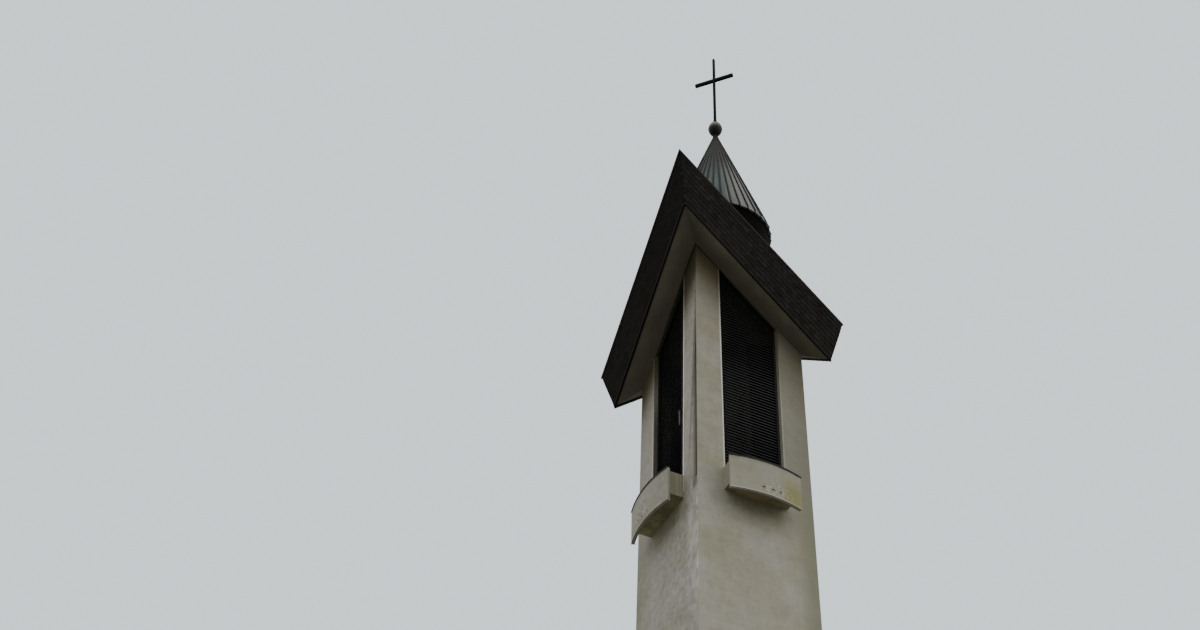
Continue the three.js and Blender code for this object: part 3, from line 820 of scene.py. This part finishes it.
def patina_metal():
    """Grey-green sheet: dark at the collar, warmer on the right and cooler on the left. Painted shadows lie
    beside each seam, and painted shade on the flank that faces -X.
    """
    paint = Paint("patina_metal")
    turn = paint.math("ARCTAN2", paint.y, paint.x)
    radius = paint.math("POWER", paint.x * paint.x + paint.y * paint.y, 0.5)
    bay = turn * (CONE_SEAMS / (2 * math.pi)) + (100.0 - SEAM_TURN * CONE_SEAMS / 360)
    within = paint.math("FRACT", bay)
    from_seam = (0.5 - abs(within - 0.5)) * radius * (2 * math.pi / CONE_SEAMS)
    ring = paint.node("ShaderNodeCombineXYZ", {}, {"X": turn * 9.0, "Y": paint.z * 0.5, "Z": 0.0})
    streaks = paint.node("ShaderNodeTexNoise", {}, {"Vector": ring, "Scale": 1.6, "Detail": 3.0})
    cloudy = paint.noise(1.8, 4.0, 0.6)
    speckle = paint.noise(34.0, 2.0, 0.6)
    colour = paint.mix(streaks.step(0.35, 0.7), PATINA_DARK, PATINA_PALE)
    colour = paint.mix(turn.band(-1.50, 0.08, 0.28) * 0.7, colour, PATINA_WARM)
    colour = paint.mix(abs(turn).step(1.75, 2.05) * 0.75, colour, PATINA_COOL)
    # Painted shade on the flank that faces -X
    colour = paint.shade(colour, 1 - 0.5 * abs(turn).step(2.45, 2.85))
    # Painted shadow beside each seam
    beside_seam = 1 - from_seam.step(0.014, 0.055)
    colour = paint.mix(beside_seam * 0.90, colour, SEAM_SHADOW_TONE)
    high = (paint.z + 0.6 * (streaks - 0.5)).step(29.6, 31.8)
    colour = paint.mix(high * 0.93, colour, CONE_TOP_DIRT)
    collar = paint.z.step(CONE_HIGH.z - 0.10, CONE_HIGH.z - 0.02)
    return paint.finish(
        paint.shade(colour, (1.08 + 0.2 * speckle) * (1 - 0.75 * collar)), metal=0.15,
        roughness=0.6 + 0.2 * (cloudy - 0.5), gloss=0.12, relief=(speckle, 0.0012),
    )


def ball_metal():
    """Dull gilt-grey metal, darker below a level just under its middle: tarnish, and a painted reflection of
    the dark ground.
    """
    paint = Paint("ball_metal")
    tarnish = paint.noise(9.0, 4.0, 0.65)
    # Tarnish and a painted reflection of the dark ground on the lower part
    low = 1 - (paint.z + 0.06 * (tarnish - 0.5)).step(TARNISH_AND_REFLECTION_LEVEL, TARNISH_AND_REFLECTION_LEVEL + 0.08)
    colour = paint.mix(low, BALL_GREY, BALL_TARNISH_AND_REFLECTION)
    return paint.finish(
        paint.shade(colour, 0.8 + 0.4 * tarnish), metal=0.6, roughness=0.42 + 0.25 * tarnish,
    )


def worn_steel(name, arms_from):
    """Bare dull steel; beyond a depth into the tower, the pull bar's arms are painted dark."""
    paint = Paint(name)
    wear = paint.noise(22.0, 3.0, 0.6)
    colour = paint.mix(wear, STEEL_DULL, STEEL_BRIGHT)
    colour = paint.mix(paint.x.step(arms_from, arms_from + 0.006), colour, ARM_PAINT)
    return paint.finish(colour, metal=0.4, roughness=0.5 + 0.2 * wear)


def black_iron():
    """Black painted iron with a trace of rust."""
    paint = Paint("black_iron")
    rust = paint.noise(14.0, 4.0, 0.65)
    colour = paint.mix(rust.step(0.58, 0.75), IRON_BLACK, IRON_RUST)
    return paint.finish(
        colour, roughness=0.7 + 0.25 * (rust - 0.5), gloss=0.12,
        relief=(rust, 0.001),
    )


def door_paint():
    """Grey-green door paint with dust towards the ground."""
    paint = Paint("door_paint")
    dust = paint.noise(7.0, 3.0, 0.6)
    near_ground = 1 - (paint.z + 0.3 * (dust - 0.5)).step(0.05, 0.6)
    colour = paint.mix(near_ground * 0.6, DOOR_GREEN, DOOR_DUST)
    return paint.finish(paint.shade(colour, 0.85 + 0.3 * dust), roughness=0.42 + 0.3 * dust)


def shadow_slot():
    """Painted shade: the dark inside of a weep slot, on a plate that stands a little proud of the parapet."""
    paint = Paint("slot_dark")
    crust = paint.noise(60.0, 2.0, 0.6)
    return paint.finish(paint.mix(crust, SLOT_BLACK, SLOT_CRUST), roughness=0.95)


def bead_render():
    """Smooth render of the jamb beads, palest beside the near and the far pier. A painted highlight pales the
    left ones, and soot with painted shade darkens them at the top.
    """
    paint = Paint("bead_render")
    nearness = abs(paint.x + paint.y).step(1.6, 1.8)
    stain = paint.noise(5.0, 3.0, 0.6, (1.0, 1.0, 0.3))
    # Soot and painted shade near the ceiling
    soot_and_shade = 1 - below_ceiling(paint).step(0.3, 3.0)
    left = left_half(paint)
    colour = paint.mix(stain, BEAD_PALE, BEAD_STAINED)
    # Painted highlight on the left beads
    colour = paint.mix(left, colour, BEAD_PAINTED_HIGHLIGHT)
    colour = paint.mix(1 - nearness, colour, paint.mix(left, BEAD_OUTER, BEAD_OUTER_LEFT))
    colour = paint.mix(soot_and_shade * 0.85, colour, SOOT_AND_SHADE)
    return paint.finish(colour, roughness=0.8, gloss=0.25, relief=(stain, 0.002))


WALL_RENDER = wall_render()
BEAD_RENDER = bead_render()
PARAPET_RENDER = parapet_render()
TROUGH_RENDER = trough_render()
SOFFIT_PLASTER = soffit_plaster()
SHINGLE = roof_shingle("roof_shingle", bright=0.80, gloss=0.14, far_bright=0.80)
SHADED_SHINGLE = roof_shingle("shaded_shingle", bright=0.36, gloss=0.09, far_bright=0.50)
# Painted shade: the drum nearly black on its near side under the cone, lighter on the far side
DRUM_SHINGLE = roof_shingle("drum_shingle", bright=0.10, gloss=0.03, far_bright=0.70)
LOUVRE_PAINT = dark_louvre_paint()
FLASHING = brown_flashing("brown_flashing", bright=1.0)
TRIM_SHEET = brown_flashing("trim_sheet", bright=0.35)
COPING = dark_coping()
PATINA = patina_metal()
BALL_METAL = ball_metal()
WORN_STEEL = worn_steel("worn_steel", arms_from=10.0)
PULL_STEEL = worn_steel("pull_steel", arms_from=PULL_LOW.x + 0.032)
IRON = black_iron()
DOOR_PAINT = door_paint()
SLOT_DARK = shadow_slot()

SLOT_FINISH = {
    "plaster": WALL_RENDER, "shingle": SHINGLE, "soffit": SOFFIT_PLASTER, "louvre": LOUVRE_PAINT,
    "flashing": FLASHING, "coping": COPING, "patina": PATINA, "pale_metal": BALL_METAL,
    "ironwork": IRON, "door_paint": DOOR_PAINT,
}
NODE_FINISH = {
    "front_right_balcony_trough": TROUGH_RENDER, "front_left_balcony_trough": TROUGH_RENDER,
    "front_right_parapet": PARAPET_RENDER, "front_left_parapet": PARAPET_RENDER,
    "near_left_fascia": SHADED_SHINGLE, "far_left_fascia": SHADED_SHINGLE, "turret_drum": DRUM_SHINGLE,
    "louvre_pull": PULL_STEEL,
}


def dress_solids():
    """Gives each solid the finish of its slot, or its own."""
    for row in RECORD["subparts"]:
        node = NODES[row["node"]]
        finish = NODE_FINISH.get(row["node"], SLOT_FINISH[row["material_slot"]])
        for slot in node.material_slots:
            slot.material = finish


# Shingles

class Slope:
    """A flat face with its own directions: along a course, down the face and out to the side of a point."""

    def __init__(self, start, end, below, outside):
        self.origin = start
        self.along = (end - start).normalized()
        down = below - start
        self.down = (down - self.along * down.dot(self.along)).normalized()
        self.out = self.along.cross(self.down).normalized()
        if (outside - start).dot(self.out) < 0:
            self.out = -self.out

    def flat(self, point):
        """A point's distances along the course and down the face."""
        way = point - self.origin
        return way.dot(self.along), way.dot(self.down)

    def at(self, along, down, out):
        return self.origin + self.along * along + self.down * down + self.out * out


class Round:
    """The drum's round face with the directions that a flat face has."""

    def __init__(self, radius, top):
        self.radius = radius
        self.top = top

    def at(self, along, down, out):
        angle = along / self.radius + math.pi / 4
        reach = self.radius + out * DRUM_TILE_FLATNESS
        return Vector((reach * math.cos(angle), reach * math.sin(angle), self.top - down))


def straight_limits(slope, *edges):
    """A face's two raking edges, each from its top to its foot, as a function of the way down the face."""
    ends = [(slope.flat(top), slope.flat(foot)) for top, foot in edges]

    def limits(down):
        return [top[0] + (foot[0] - top[0]) * ((down - top[1]) / (foot[1] - top[1])) for top, foot in ends]

    return limits


def tile_layers(bm):
    return {name: bm.verts.layers.float.new(name) for name in ("tone", "low_edge")}


def random_tone(rng, spread):
    """A shingle's tone from 0 to 1, most often near the middle."""
    return min(max(rng.gauss(0.5, spread), 0.0), 1.0)


def add_tile(bm, layers, face, limits, start, end, foot, tone, inset):
    """One wedge-shaped shingle from its foot upwards, held between the face's two raking edges."""
    left_foot, right_foot = limits(foot)
    if end < left_foot + TILE_LEAST or start > right_foot - TILE_LEAST:
        return
    for vert, at_end, at_foot, outside in box_corners(bm):
        down = foot if at_foot else foot - TILE_EXPOSED - TILE_LAP
        out = TILE_BACK
        if outside:
            out = TILE_FOOT_PROUD if at_foot else TILE_HEAD_PROUD
        spare = -inset if inset else max(out, 0.0)
        low, high = limits(down)
        along = min(max(end if at_end else start, low - spare), high + spare)
        vert.co = face.at(along, down, out)
        vert[layers["tone"]] = tone
        vert[layers["low_edge"]] = 1.0 if at_foot else 0.0


def courses(face, limits, lowest_foot, highest_foot, seed, skip=None, width=TILE_WIDTH, inset=0.0):
    """Courses of shingles in brick bond from the lowest foot to the highest."""
    rng = random.Random(seed)
    bm = bmesh.new()
    layers = tile_layers(bm)
    for course in range(round((lowest_foot - highest_foot) / TILE_EXPOSED) + 1):
        foot = lowest_foot - course * TILE_EXPOSED
        low, high = limits(foot)
        start = math.floor(low / width - 1) * width + (course % 2) * width / 2
        while start < high + width:
            tone = random_tone(rng, 0.22)
            wobble = rng.uniform(-TILE_WOBBLE, TILE_WOBBLE)
            if not skip or not skip(face.at(start + width / 2, foot - TILE_EXPOSED / 2, 0.0)):
                add_tile(
                    bm, layers, face, limits, start + TILE_JOINT, start + width, foot + wobble, tone, inset,
                )
            start += width
    bmesh.ops.recalc_face_normals(bm, faces=bm.faces)
    return bm


def fascia_corners(slope_name, edge):
    """The outer corners of a fascia: ridge top, eave top, eave foot and ridge foot."""
    eave = 1 if slope_name == "right" else -1
    ridge = 1 if edge == "far" else -1
    node = f"{edge}_{slope_name}_fascia"
    return (
        farthest(node, (ridge, ridge, 1)), farthest(node, (eave, -eave, 0)),
        farthest(node, (eave, -eave, -1)), farthest(node, (ridge, ridge, -1)),
    )


def fascia_face(slope_name, edge):
    """A fascia's face, its raking ends and its depth."""
    ridge_top, eave_top, eave_foot, ridge_foot = fascia_corners(slope_name, edge)
    face = Slope(ridge_top, eave_top, ridge_foot, ridge_top + eave_top)
    limits = straight_limits(face, (ridge_top, ridge_foot), (eave_top, eave_foot))
    return face, limits, face.flat(ridge_foot)[1]


def roof_corners(slope_name):
    """The near, far and eave corners of the top of a slope."""
    near_top, eave_top, _, _ = fascia_corners(slope_name, "near")
    return near_top, fascia_corners(slope_name, "far")[0], eave_top


def fascia_shingles(slope_name, edge, seed):
    face, limits, depth = fascia_face(slope_name, edge)
    bm = courses(face, limits, depth - FASCIA_FOOT_MARGIN, FASCIA_TOP_MARGIN + TILE_EXPOSED, seed)
    finish = SHADED_SHINGLE if slope_name == "left" else SHINGLE
    finished(f"{edge}_{slope_name}_fascia_shingles", bm, finish)


def roof_shingles(slope_name, seed):
    """Shingles on the top of one slope, in level courses, with room left for the drum."""
    near_top, far_top, eave_top = roof_corners(slope_name)
    face = Slope(near_top, far_top, eave_top, near_top + UP)
    limits = straight_limits(face, (near_top, eave_top), (far_top, eave_top))
    lowest_foot = face.flat(eave_top)[1] - ROOF_FOOT_MARGIN

    def in_drum(point):
        return math.hypot(point.x, point.y) < DRUM_HIGH.x - TILE_WIDTH

    highest_foot = TILE_EXPOSED + ROOF_TOP_MARGIN
    bm = courses(face, limits, lowest_foot, highest_foot, seed, in_drum, inset=ROOF_TILE_INSET)
    finished(f"{slope_name}_roof_shingles", bm, SHINGLE)


def roof_top(x, y):
    """Level of the roof's top over a point of the plan."""
    return ROOF_PEAK - ROOF_FALL * abs(x - y) * DIAGONAL


def drum_shingles(seed):
    """Rows of shingles round the drum, down to the roof."""
    girth = 2 * math.pi * DRUM_HIGH.x
    face = Round(DRUM_HIGH.x, CONE_LOW.z)
    rows = math.ceil((CONE_LOW.z - roof_top(DRUM_HIGH.x, -DRUM_HIGH.x)) / TILE_EXPOSED)

    def in_roof(point):
        return point.z + TILE_EXPOSED < roof_top(point.x, point.y)

    bm = courses(
        face, lambda down: (0.0, girth), rows * TILE_EXPOSED, TILE_EXPOSED, seed, in_roof, girth / DRUM_TILES,
    )
    finished("drum_shingles", bm, DRUM_SHINGLE)


def ridge_caps(seed):
    """Short overlapping caps over the ridge, up to the drum on either side."""
    rng = random.Random(seed)
    near_top, far_top, right_eave = roof_corners("right")
    left_eave = roof_corners("left")[2]
    length = (far_top - near_top).length
    clear = length / 2 - DRUM_HIGH.x - CAP_START
    bm = bmesh.new()
    layers = tile_layers(bm)
    for eave in (right_eave, left_eave):
        slope = Slope(near_top, far_top, eave, near_top + UP)
        for index in range(math.ceil(clear / CAP_LENGTH)):
            tone = random_tone(rng, 0.2)
            for from_far in (False, True):
                add_cap(bm, layers, slope, CAP_START + index * CAP_LENGTH, length, from_far, tone)
    bmesh.ops.recalc_face_normals(bm, faces=bm.faces)
    finished("ridge_caps", bm, SHINGLE)


def add_cap(bm, layers, slope, start, length, from_far, tone):
    """One half of a ridge cap: its outer end lies over the next one."""
    for vert, inner_end, at_foot, outside in box_corners(bm):
        along = start + (CAP_LENGTH + CAP_LAP if inner_end else 0.0)
        out = CAP_PROUD_INNER if inner_end else CAP_PROUD_OUTER
        out = out if outside else out - CAP_THICKNESS
        down = CAP_HALF if at_foot else -out * ROOF_FALL
        vert.co = slope.at(length - along if from_far else along, down, out)
        vert[layers["tone"]] = tone
        vert[layers["low_edge"]] = 0.0 if inner_end else CAP_END_PALENESS


def fascia_trim(slope_name):
    """Thin brown sheet that closes the foot of a slope's two fascias."""
    bm = bmesh.new()
    for edge in ("near", "far"):
        face, limits, depth = fascia_face(slope_name, edge)
        low, high = limits(depth)
        for vert, at_end, at_foot, outside in box_corners(bm):
            down = depth + TRIM_DROP if at_foot else depth - TRIM_HEIGHT
            out = TRIM_PROUD if outside else -TRIM_BACK
            vert.co = face.at(high + out if at_end else low - out, down, out)
    bmesh.ops.recalc_face_normals(bm, faces=bm.faces)
    finished(f"{slope_name}_fascia_trim", bm, TRIM_SHEET)


# Cone with standing seams

def cone_edge(z):
    """Radius of the cone's face at a height."""
    return CONE_EDGE * (CONE_HIGH.z - z) / (CONE_HIGH.z - CONE_RIM_TOP) + CONE_TIP


def seamed_cone():
    profile = (
        (0.0, CONE_HOLLOW_TOP), (CONE_HIGH.x - CONE_RIM_WIDTH, CONE_LOW.z), (CONE_HIGH.x, CONE_LOW.z),
        (CONE_HIGH.x, CONE_RIM_TOP), (CONE_TIP, CONE_HIGH.z), (0.0, CONE_HIGH.z),
    )
    bm = bmesh.new()
    spun(bm, profile, CONE_SEAMS, start=math.radians(SEAM_TURN))
    for index in range(CONE_SEAMS):
        add_seam(bm, math.radians(SEAM_TURN) + index * 2 * math.pi / CONE_SEAMS)
    finished("seamed_cone", bm, PATINA, "cone_roof")


def add_seam(bm, angle):
    """One standing seam from above the rim to the collar, lower and thinner towards the top."""
    turn = Matrix.Rotation(angle, 3, "Z")
    for vert, outside, aside, high in box_corners(bm):
        z = SEAM_TOP if high else SEAM_FOOT
        rise = SEAM_HEIGHT_AT_TOP if high else SEAM_HEIGHT
        half = (SEAM_WIDTH_AT_TOP if high else SEAM_WIDTH) / 2
        reach = cone_edge(z) + (rise if outside else -SEAM_ROOT)
        vert.co = turn @ Vector((reach, half if aside else -half, z))


# Finial

def finial():
    bm = bmesh.new()
    spun(bm, raised(COLLAR, COLLAR_FOOT), 32)
    finished("finial_collar", bm, PATINA, "finial_neck")
    bm = bmesh.new()
    bmesh.ops.create_uvsphere(
        bm, u_segments=48, v_segments=28, radius=BALL_HIGH.x,
        matrix=Matrix.Translation((0, 0, BALL_MIDDLE)) @ Matrix.Diagonal((1.0, 1.0, BALL_STRETCH, 1.0)),
    )
    belt = bmesh.new()
    spun(belt, raised(BALL_BELT, BALL_MIDDLE), 48, closed=True)
    join(bm, belt)
    finished("finial_globe", bm, BALL_METAL, "finial_ball")


def iron_cross():
    """A square post with a pointed end, a flat arm and a socket on the ball."""
    post = CROSS_POST / 2
    point_foot = CROSS_HIGH.z - CROSS_POINT
    bm = bmesh.new()
    bar(bm, (-post, -post, BALL_HIGH.z - CROSS_SUNK), (post, post, point_foot), CROSS_POST_ROUNDING)
    point_place = Matrix.Translation((0, 0, point_foot + CROSS_POINT / 2))
    bmesh.ops.create_cone(
        bm, cap_ends=True, segments=4, radius1=post / DIAGONAL, radius2=CROSS_POINT_END, depth=CROSS_POINT,
        matrix=point_place @ Matrix.Rotation(math.pi / 4, 4, "Z"),
    )
    middle = Vector((0.0, 0.0, CROSS_ARM_LEVEL))
    bar(bm, middle - CROSS_ARM / 2, middle + CROSS_ARM / 2, CROSS_ARM_ROUNDING)
    socket = bmesh.new()
    spun(socket, raised(CROSS_SOCKET, BALL_HIGH.z), 24)
    join(bm, socket)
    turned(bm, CROSS_HEADING)
    finished("iron_cross", bm, IRON, "cross")


# Belfry

def ceiling(side, along, inwards, drop):
    """Level a little below the ceiling on an upright line of one wall."""
    z = PIER_TOP
    for _ in range(4):
        point = side_point(side, along, inwards, z)
        z = PIER_TOP - ROOF_FALL * abs(point.x - point.y) * DIAGONAL - drop
    return z


def wall_bar(bm, side, along, inwards, low, high):
    """A bar on one wall; its ends are levels, or functions of the place along and into the wall."""
    for vert, at_end, at_back, at_top in box_corners(bm):
        place = (along[at_end], inwards[at_back])
        level = high if at_top else low
        vert.co = side_point(side, *place, level(*place) if callable(level) else level)


def louvre_panel(side, name):
    """Frame and close-set blades that slope down and outwards, and on one side a leaf's stile."""
    across = (-JAMB_HALF, JAMB_HALF)
    clear = JAMB_HALF - STILE
    back = LOUVRE_FACE + LOUVRE_DEPTH
    deep = (LOUVRE_FACE, back)
    sill = BELFRY_LEVEL + SILL_GAP
    top = partial(ceiling, side, drop=HEAD_GAP)
    bm = bmesh.new()
    wall_bar(bm, side, (-JAMB_HALF, -clear), deep, sill, top)
    wall_bar(bm, side, (clear, JAMB_HALF), deep, sill, top)
    wall_bar(bm, side, across, deep, partial(ceiling, side, drop=HEAD), top)
    wall_bar(bm, side, across, deep, sill, sill + STILE)
    if name == LEAF_LOUVRE:
        wall_bar(bm, side, LEAF_STILE, (LOUVRE_FACE - LEAF_STILE_PROUD, back), sill, top)
        wall_bar(bm, side, LEAF_STOP, (LOUVRE_FACE + LEAF_STOP_SUNK, back), sill, top)
    add_blades(bm, side, clear, sill + STILE)
    bmesh.ops.recalc_face_normals(bm, faces=bm.faces)
    finished(f"{name}_louvre_blades", bm, LOUVRE_PAINT, f"{name}_louvre")


def add_blades(bm, side, clear, z):
    """Blades from a level up to the sloping head, which cuts the upper ones short."""
    heads = [ceiling(side, along, LOUVRE_FACE, BLADE_TOP_MARGIN) for along in (-clear, clear)]
    while z < max(heads):
        reach = [-clear - BLADE_TUCK, clear + BLADE_TUCK]
        for end, inwards in enumerate((1, -1)):
            if z > heads[end]:
                reach[end] += inwards * 2 * clear * (z - heads[end]) / (heads[1 - end] - heads[end])
        if reach[1] - reach[0] > BLADE_LEAST:
            add_blade(bm, side, reach, LOUVRE_FACE + BLADE_SUNK, z)
        z += BLADE_PITCH


def add_blade(bm, side, reach, front, z):
    """One sloping blade with an upright lip along its lower edge."""
    for vert, at_end, inner, upper in box_corners(bm):
        inwards = front + (BLADE_REACH if inner else 0.0)
        level = z + (BLADE_RISE if inner else 0.0) + (BLADE_THICKNESS if upper else 0.0)
        vert.co = side_point(side, reach[at_end], inwards, level)
    wall_bar(bm, side, reach, (front - BLADE_LIP_THICKNESS, front), z - BLADE_LIP_DROP, z + BLADE_LIP_RISE)


def jamb_beads(side, name):
    """Pale render beads on the two edges of an opening."""
    top = partial(ceiling, side, drop=BEAD_END_GAP)
    near = JAMB_HALF + BEAD_GAP
    far = JAMB_HALF + BEAD
    bm = bmesh.new()
    for along in ((-far, -near), (near, far)):
        wall_bar(bm, side, along, (-BEAD_PROUD, BEAD_SUNK), BELFRY_LEVEL + BEAD_END_GAP, top)
    finished(f"{name}_jamb_beads", bm, BEAD_RENDER)


# Balconies

def curved(profile, half, side):
    """A strip with a profile of (radius, height) points along the parapet's arc, on one side."""
    spread = math.asin(half / PARAPET_RADIUS)
    bm = bmesh.new()
    spun(
        bm, profile, ARC_STEPS, start=-math.pi / 2 - spread, sweep=2 * spread,
        centre=(0, PARAPET_CENTRE, 0), closed=True,
    )
    turned(bm, quarters(side))
    return bm


def balcony(side, name):
    """A parapet with its lip and drip groove, its sheet coping and its weep slots of painted shade."""
    face = PARAPET_RADIUS
    inner = face - PARAPET_THICKNESS
    foot = PARAPET_LOW.z
    top = PARAPET_HIGH.z
    groove = [(face - inset, foot + rise) for inset, rise in GROOVE]
    bm = curved((
        (inner, foot), *groove, (face + LIP_PROUD, foot), (face + LIP_PROUD, foot + LIP_HEIGHT),
        (face, foot + LIP_HEIGHT + LIP_SLOPE), (face, top), (inner, top),
    ), PARAPET_HIGH.x, side)
    inner_edges = [edge for edge in bm.edges if len(edge.link_faces) == 2]
    sharp = [edge for edge in inner_edges if edge.calc_face_angle() > SOFTENED_EDGE]
    rounded(bm, sharp, PARAPET_ROUNDING)
    finished(f"{name}_parapet_front", bm, PARAPET_RENDER, f"{name}_parapet")
    overhang = COPING_HIGH.x - PARAPET_HIGH.x
    outside = face + overhang
    inside = inner - overhang
    edge_top = COPING_HIGH.z - COPING_FALL
    edge_foot = top - COPING_DROP
    bm = curved((
        (inside, edge_top), (inside, edge_foot), (inside + SHEET, edge_foot),
        (inside + SHEET, top + SHEET_GAP), (outside - SHEET, top + SHEET_GAP), (outside - SHEET, edge_foot),
        (outside, edge_foot), (outside, edge_top), (face - PARAPET_THICKNESS / 2, COPING_HIGH.z),
    ), COPING_HIGH.x, side)
    finished(f"{name}_coping_sheet", bm, COPING, f"{name}_coping")
    weep_slots(side, name)


def weep_slots(side, name):
    """Three small dark plates of painted shade for slots, with a sill each, towards the far end of the
    parapet's foot.
    """
    towards_far = 1 if side == 0 else -1
    level = PARAPET_LOW.z + SLOT_LEVEL
    slot = (SLOT_WIDTH, SLOT_PROUD, SLOT_DEPTH, level, level + SLOT_HEIGHT, SLOT_ROUNDING)
    sill = (SILL_WIDTH, SILL_PROUD, SILL_DEPTH, level - SILL_HEIGHT, level, SILL_ROUNDING)
    for label, finish, sizes in (("weep_slots", SLOT_DARK, slot), ("weep_sills", BEAD_RENDER, sill)):
        width, proud, depth, low, high, rounding = sizes
        bm = bmesh.new()
        for place in SLOT_PLACES:
            corners = ((-width / 2, -PARAPET_RADIUS - proud, low), (width / 2, -PARAPET_RADIUS + depth, high))
            verts = bar(bm, *corners, rounding, 1)
            turn = Matrix.Rotation(math.asin(towards_far * place / PARAPET_RADIUS), 4, "Z")
            bmesh.ops.transform(bm, verts=verts, matrix=Matrix.Translation((0, PARAPET_CENTRE, 0)) @ turn)
        turned(bm, quarters(side))
        finished(f"{name}_{label}", bm, finish)


# Service door

def door_boxes(bm, boxes):
    """Boxes on the leaf, from tables of their ends across it, out from its face and up from the ground."""
    corner = Vector((DOOR_LOW.x, DOOR_HIGH.y, 0.0))
    for *spans, rounding in boxes:
        low, high = zip(*spans)
        bar(bm, corner + Vector(low), corner + Vector(high), rounding)


def door_fittings():
    bm = bmesh.new()
    for z in HINGE_LEVELS:
        bmesh.ops.create_cone(
            bm, cap_ends=True, segments=16, radius1=HINGE_RADIUS, radius2=HINGE_RADIUS, depth=HINGE_HEIGHT,
            matrix=Matrix.Translation((DOOR_HIGH.x - HINGE_INSET, DOOR_HIGH.y + HINGE_PROUD, z)),
        )
    door_boxes(bm, LATCH)
    finished("foot_door_fittings", bm, WORN_STEEL)
    bm = bmesh.new()
    door_boxes(bm, DOOR_PANELS)
    finished("foot_door_panels", bm, DOOR_PAINT)


# Camera, light and floor

def add_camera():
    data = bpy.data.cameras.new("camera")
    data.lens = CAMERA_LENS
    data.sensor_width = SENSOR_WIDTH
    data.clip_end = VIEW_END
    camera = placed("camera", data)
    heading = Matrix.Rotation(math.radians(CAMERA_HEADING), 4, "Z")
    tilt = Matrix.Rotation(math.radians(90 + CAMERA_TILT), 4, "X")
    roll = Matrix.Rotation(math.radians(CAMERA_ROLL), 4, "Z")
    camera.matrix_world = Matrix.Translation(CAMERA_PLACE) @ heading @ tilt @ roll
    bpy.context.scene.camera = camera


def add_world():
    """Bright upper half, dim lower half, and a plain pale grey where the camera looks past the tower."""
    sky = Paint("overcast", for_world=True)
    brightness = sky.node("ShaderNodeFloatCurve", {}, {"Value": sky.z * 0.5 + 0.5})
    mapping = brightness.socket.node.mapping
    points = mapping.curves[0].points
    for height, light in ((0.49, GROUND_LIGHT), (0.51, HORIZON_LIGHT)):
        points.new(height, light / ZENITH_LIGHT)
    points[0].location = (0.0, GROUND_LIGHT / ZENITH_LIGHT)
    points[-1].location = (1.0, 1.0)
    for point in points:
        point.handle_type = "VECTOR"
    mapping.update()
    light = sky.node("ShaderNodeBackground", {}, {"Color": SKY_TINT, "Strength": brightness * ZENITH_LIGHT})
    seen = sky.node("ShaderNodeBackground", {}, {"Color": BACKDROP})
    to_camera = sky.node("ShaderNodeLightPath", {}, {}, "Is Camera Ray")
    either = sky.node("ShaderNodeMixShader", {}, {0: to_camera, 1: light, 2: seen})
    bpy.context.scene.world = sky.end("ShaderNodeOutputWorld", either)


def add_side_lamp():
    """A large soft lamp to the right of the camera, so that the right side is a little brighter."""
    data = bpy.data.lights.new("side_lamp", "AREA")
    data.size = SIDE_LAMP_SIZE
    data.energy = SIDE_LAMP_POWER
    lamp = placed("side_lamp", data)
    lamp.location = SIDE_LAMP_PLACE
    lamp.rotation_euler = (SIDE_LAMP_AIM - SIDE_LAMP_PLACE).to_track_quat("-Z", "Y").to_euler()


def add_floor():
    bm = bmesh.new()
    bmesh.ops.create_cone(
        bm, cap_ends=True, segments=96, radius1=FLOOR_RADIUS, radius2=FLOOR_RADIUS, depth=FLOOR_THICKNESS,
        matrix=Matrix.Translation((0, 0, -FLOOR_THICKNESS / 2)),
    )
    floor = placed("floor", mesh_of("floor", bm, Paint("floor").finish(FLOOR_GREY, roughness=0.9)))
    floor.visible_diffuse = False
    floor.visible_glossy = False


# The tower, dressed

for number, slope_name in enumerate(("right", "left")):
    fascia_shingles(slope_name, "near", TILE_SEED + 2 * number)
    fascia_shingles(slope_name, "far", TILE_SEED + 2 * number + 1)
for number, slope_name in enumerate(("right", "left")):
    roof_shingles(slope_name, TILE_SEED + 10 + number)
drum_shingles(TILE_SEED + 20)
ridge_caps(TILE_SEED + 21)
for slope_name in ("right", "left"):
    fascia_trim(slope_name)
seamed_cone()
finial()
iron_cross()
for side, name in enumerate(SIDES):
    louvre_panel(side, name)
    jamb_beads(side, name)
for name in BALCONY_SIDES:
    balcony(SIDES.index(name), name)
door_fittings()
dress_solids()
add_camera()
add_world()
add_side_lamp()
add_floor()
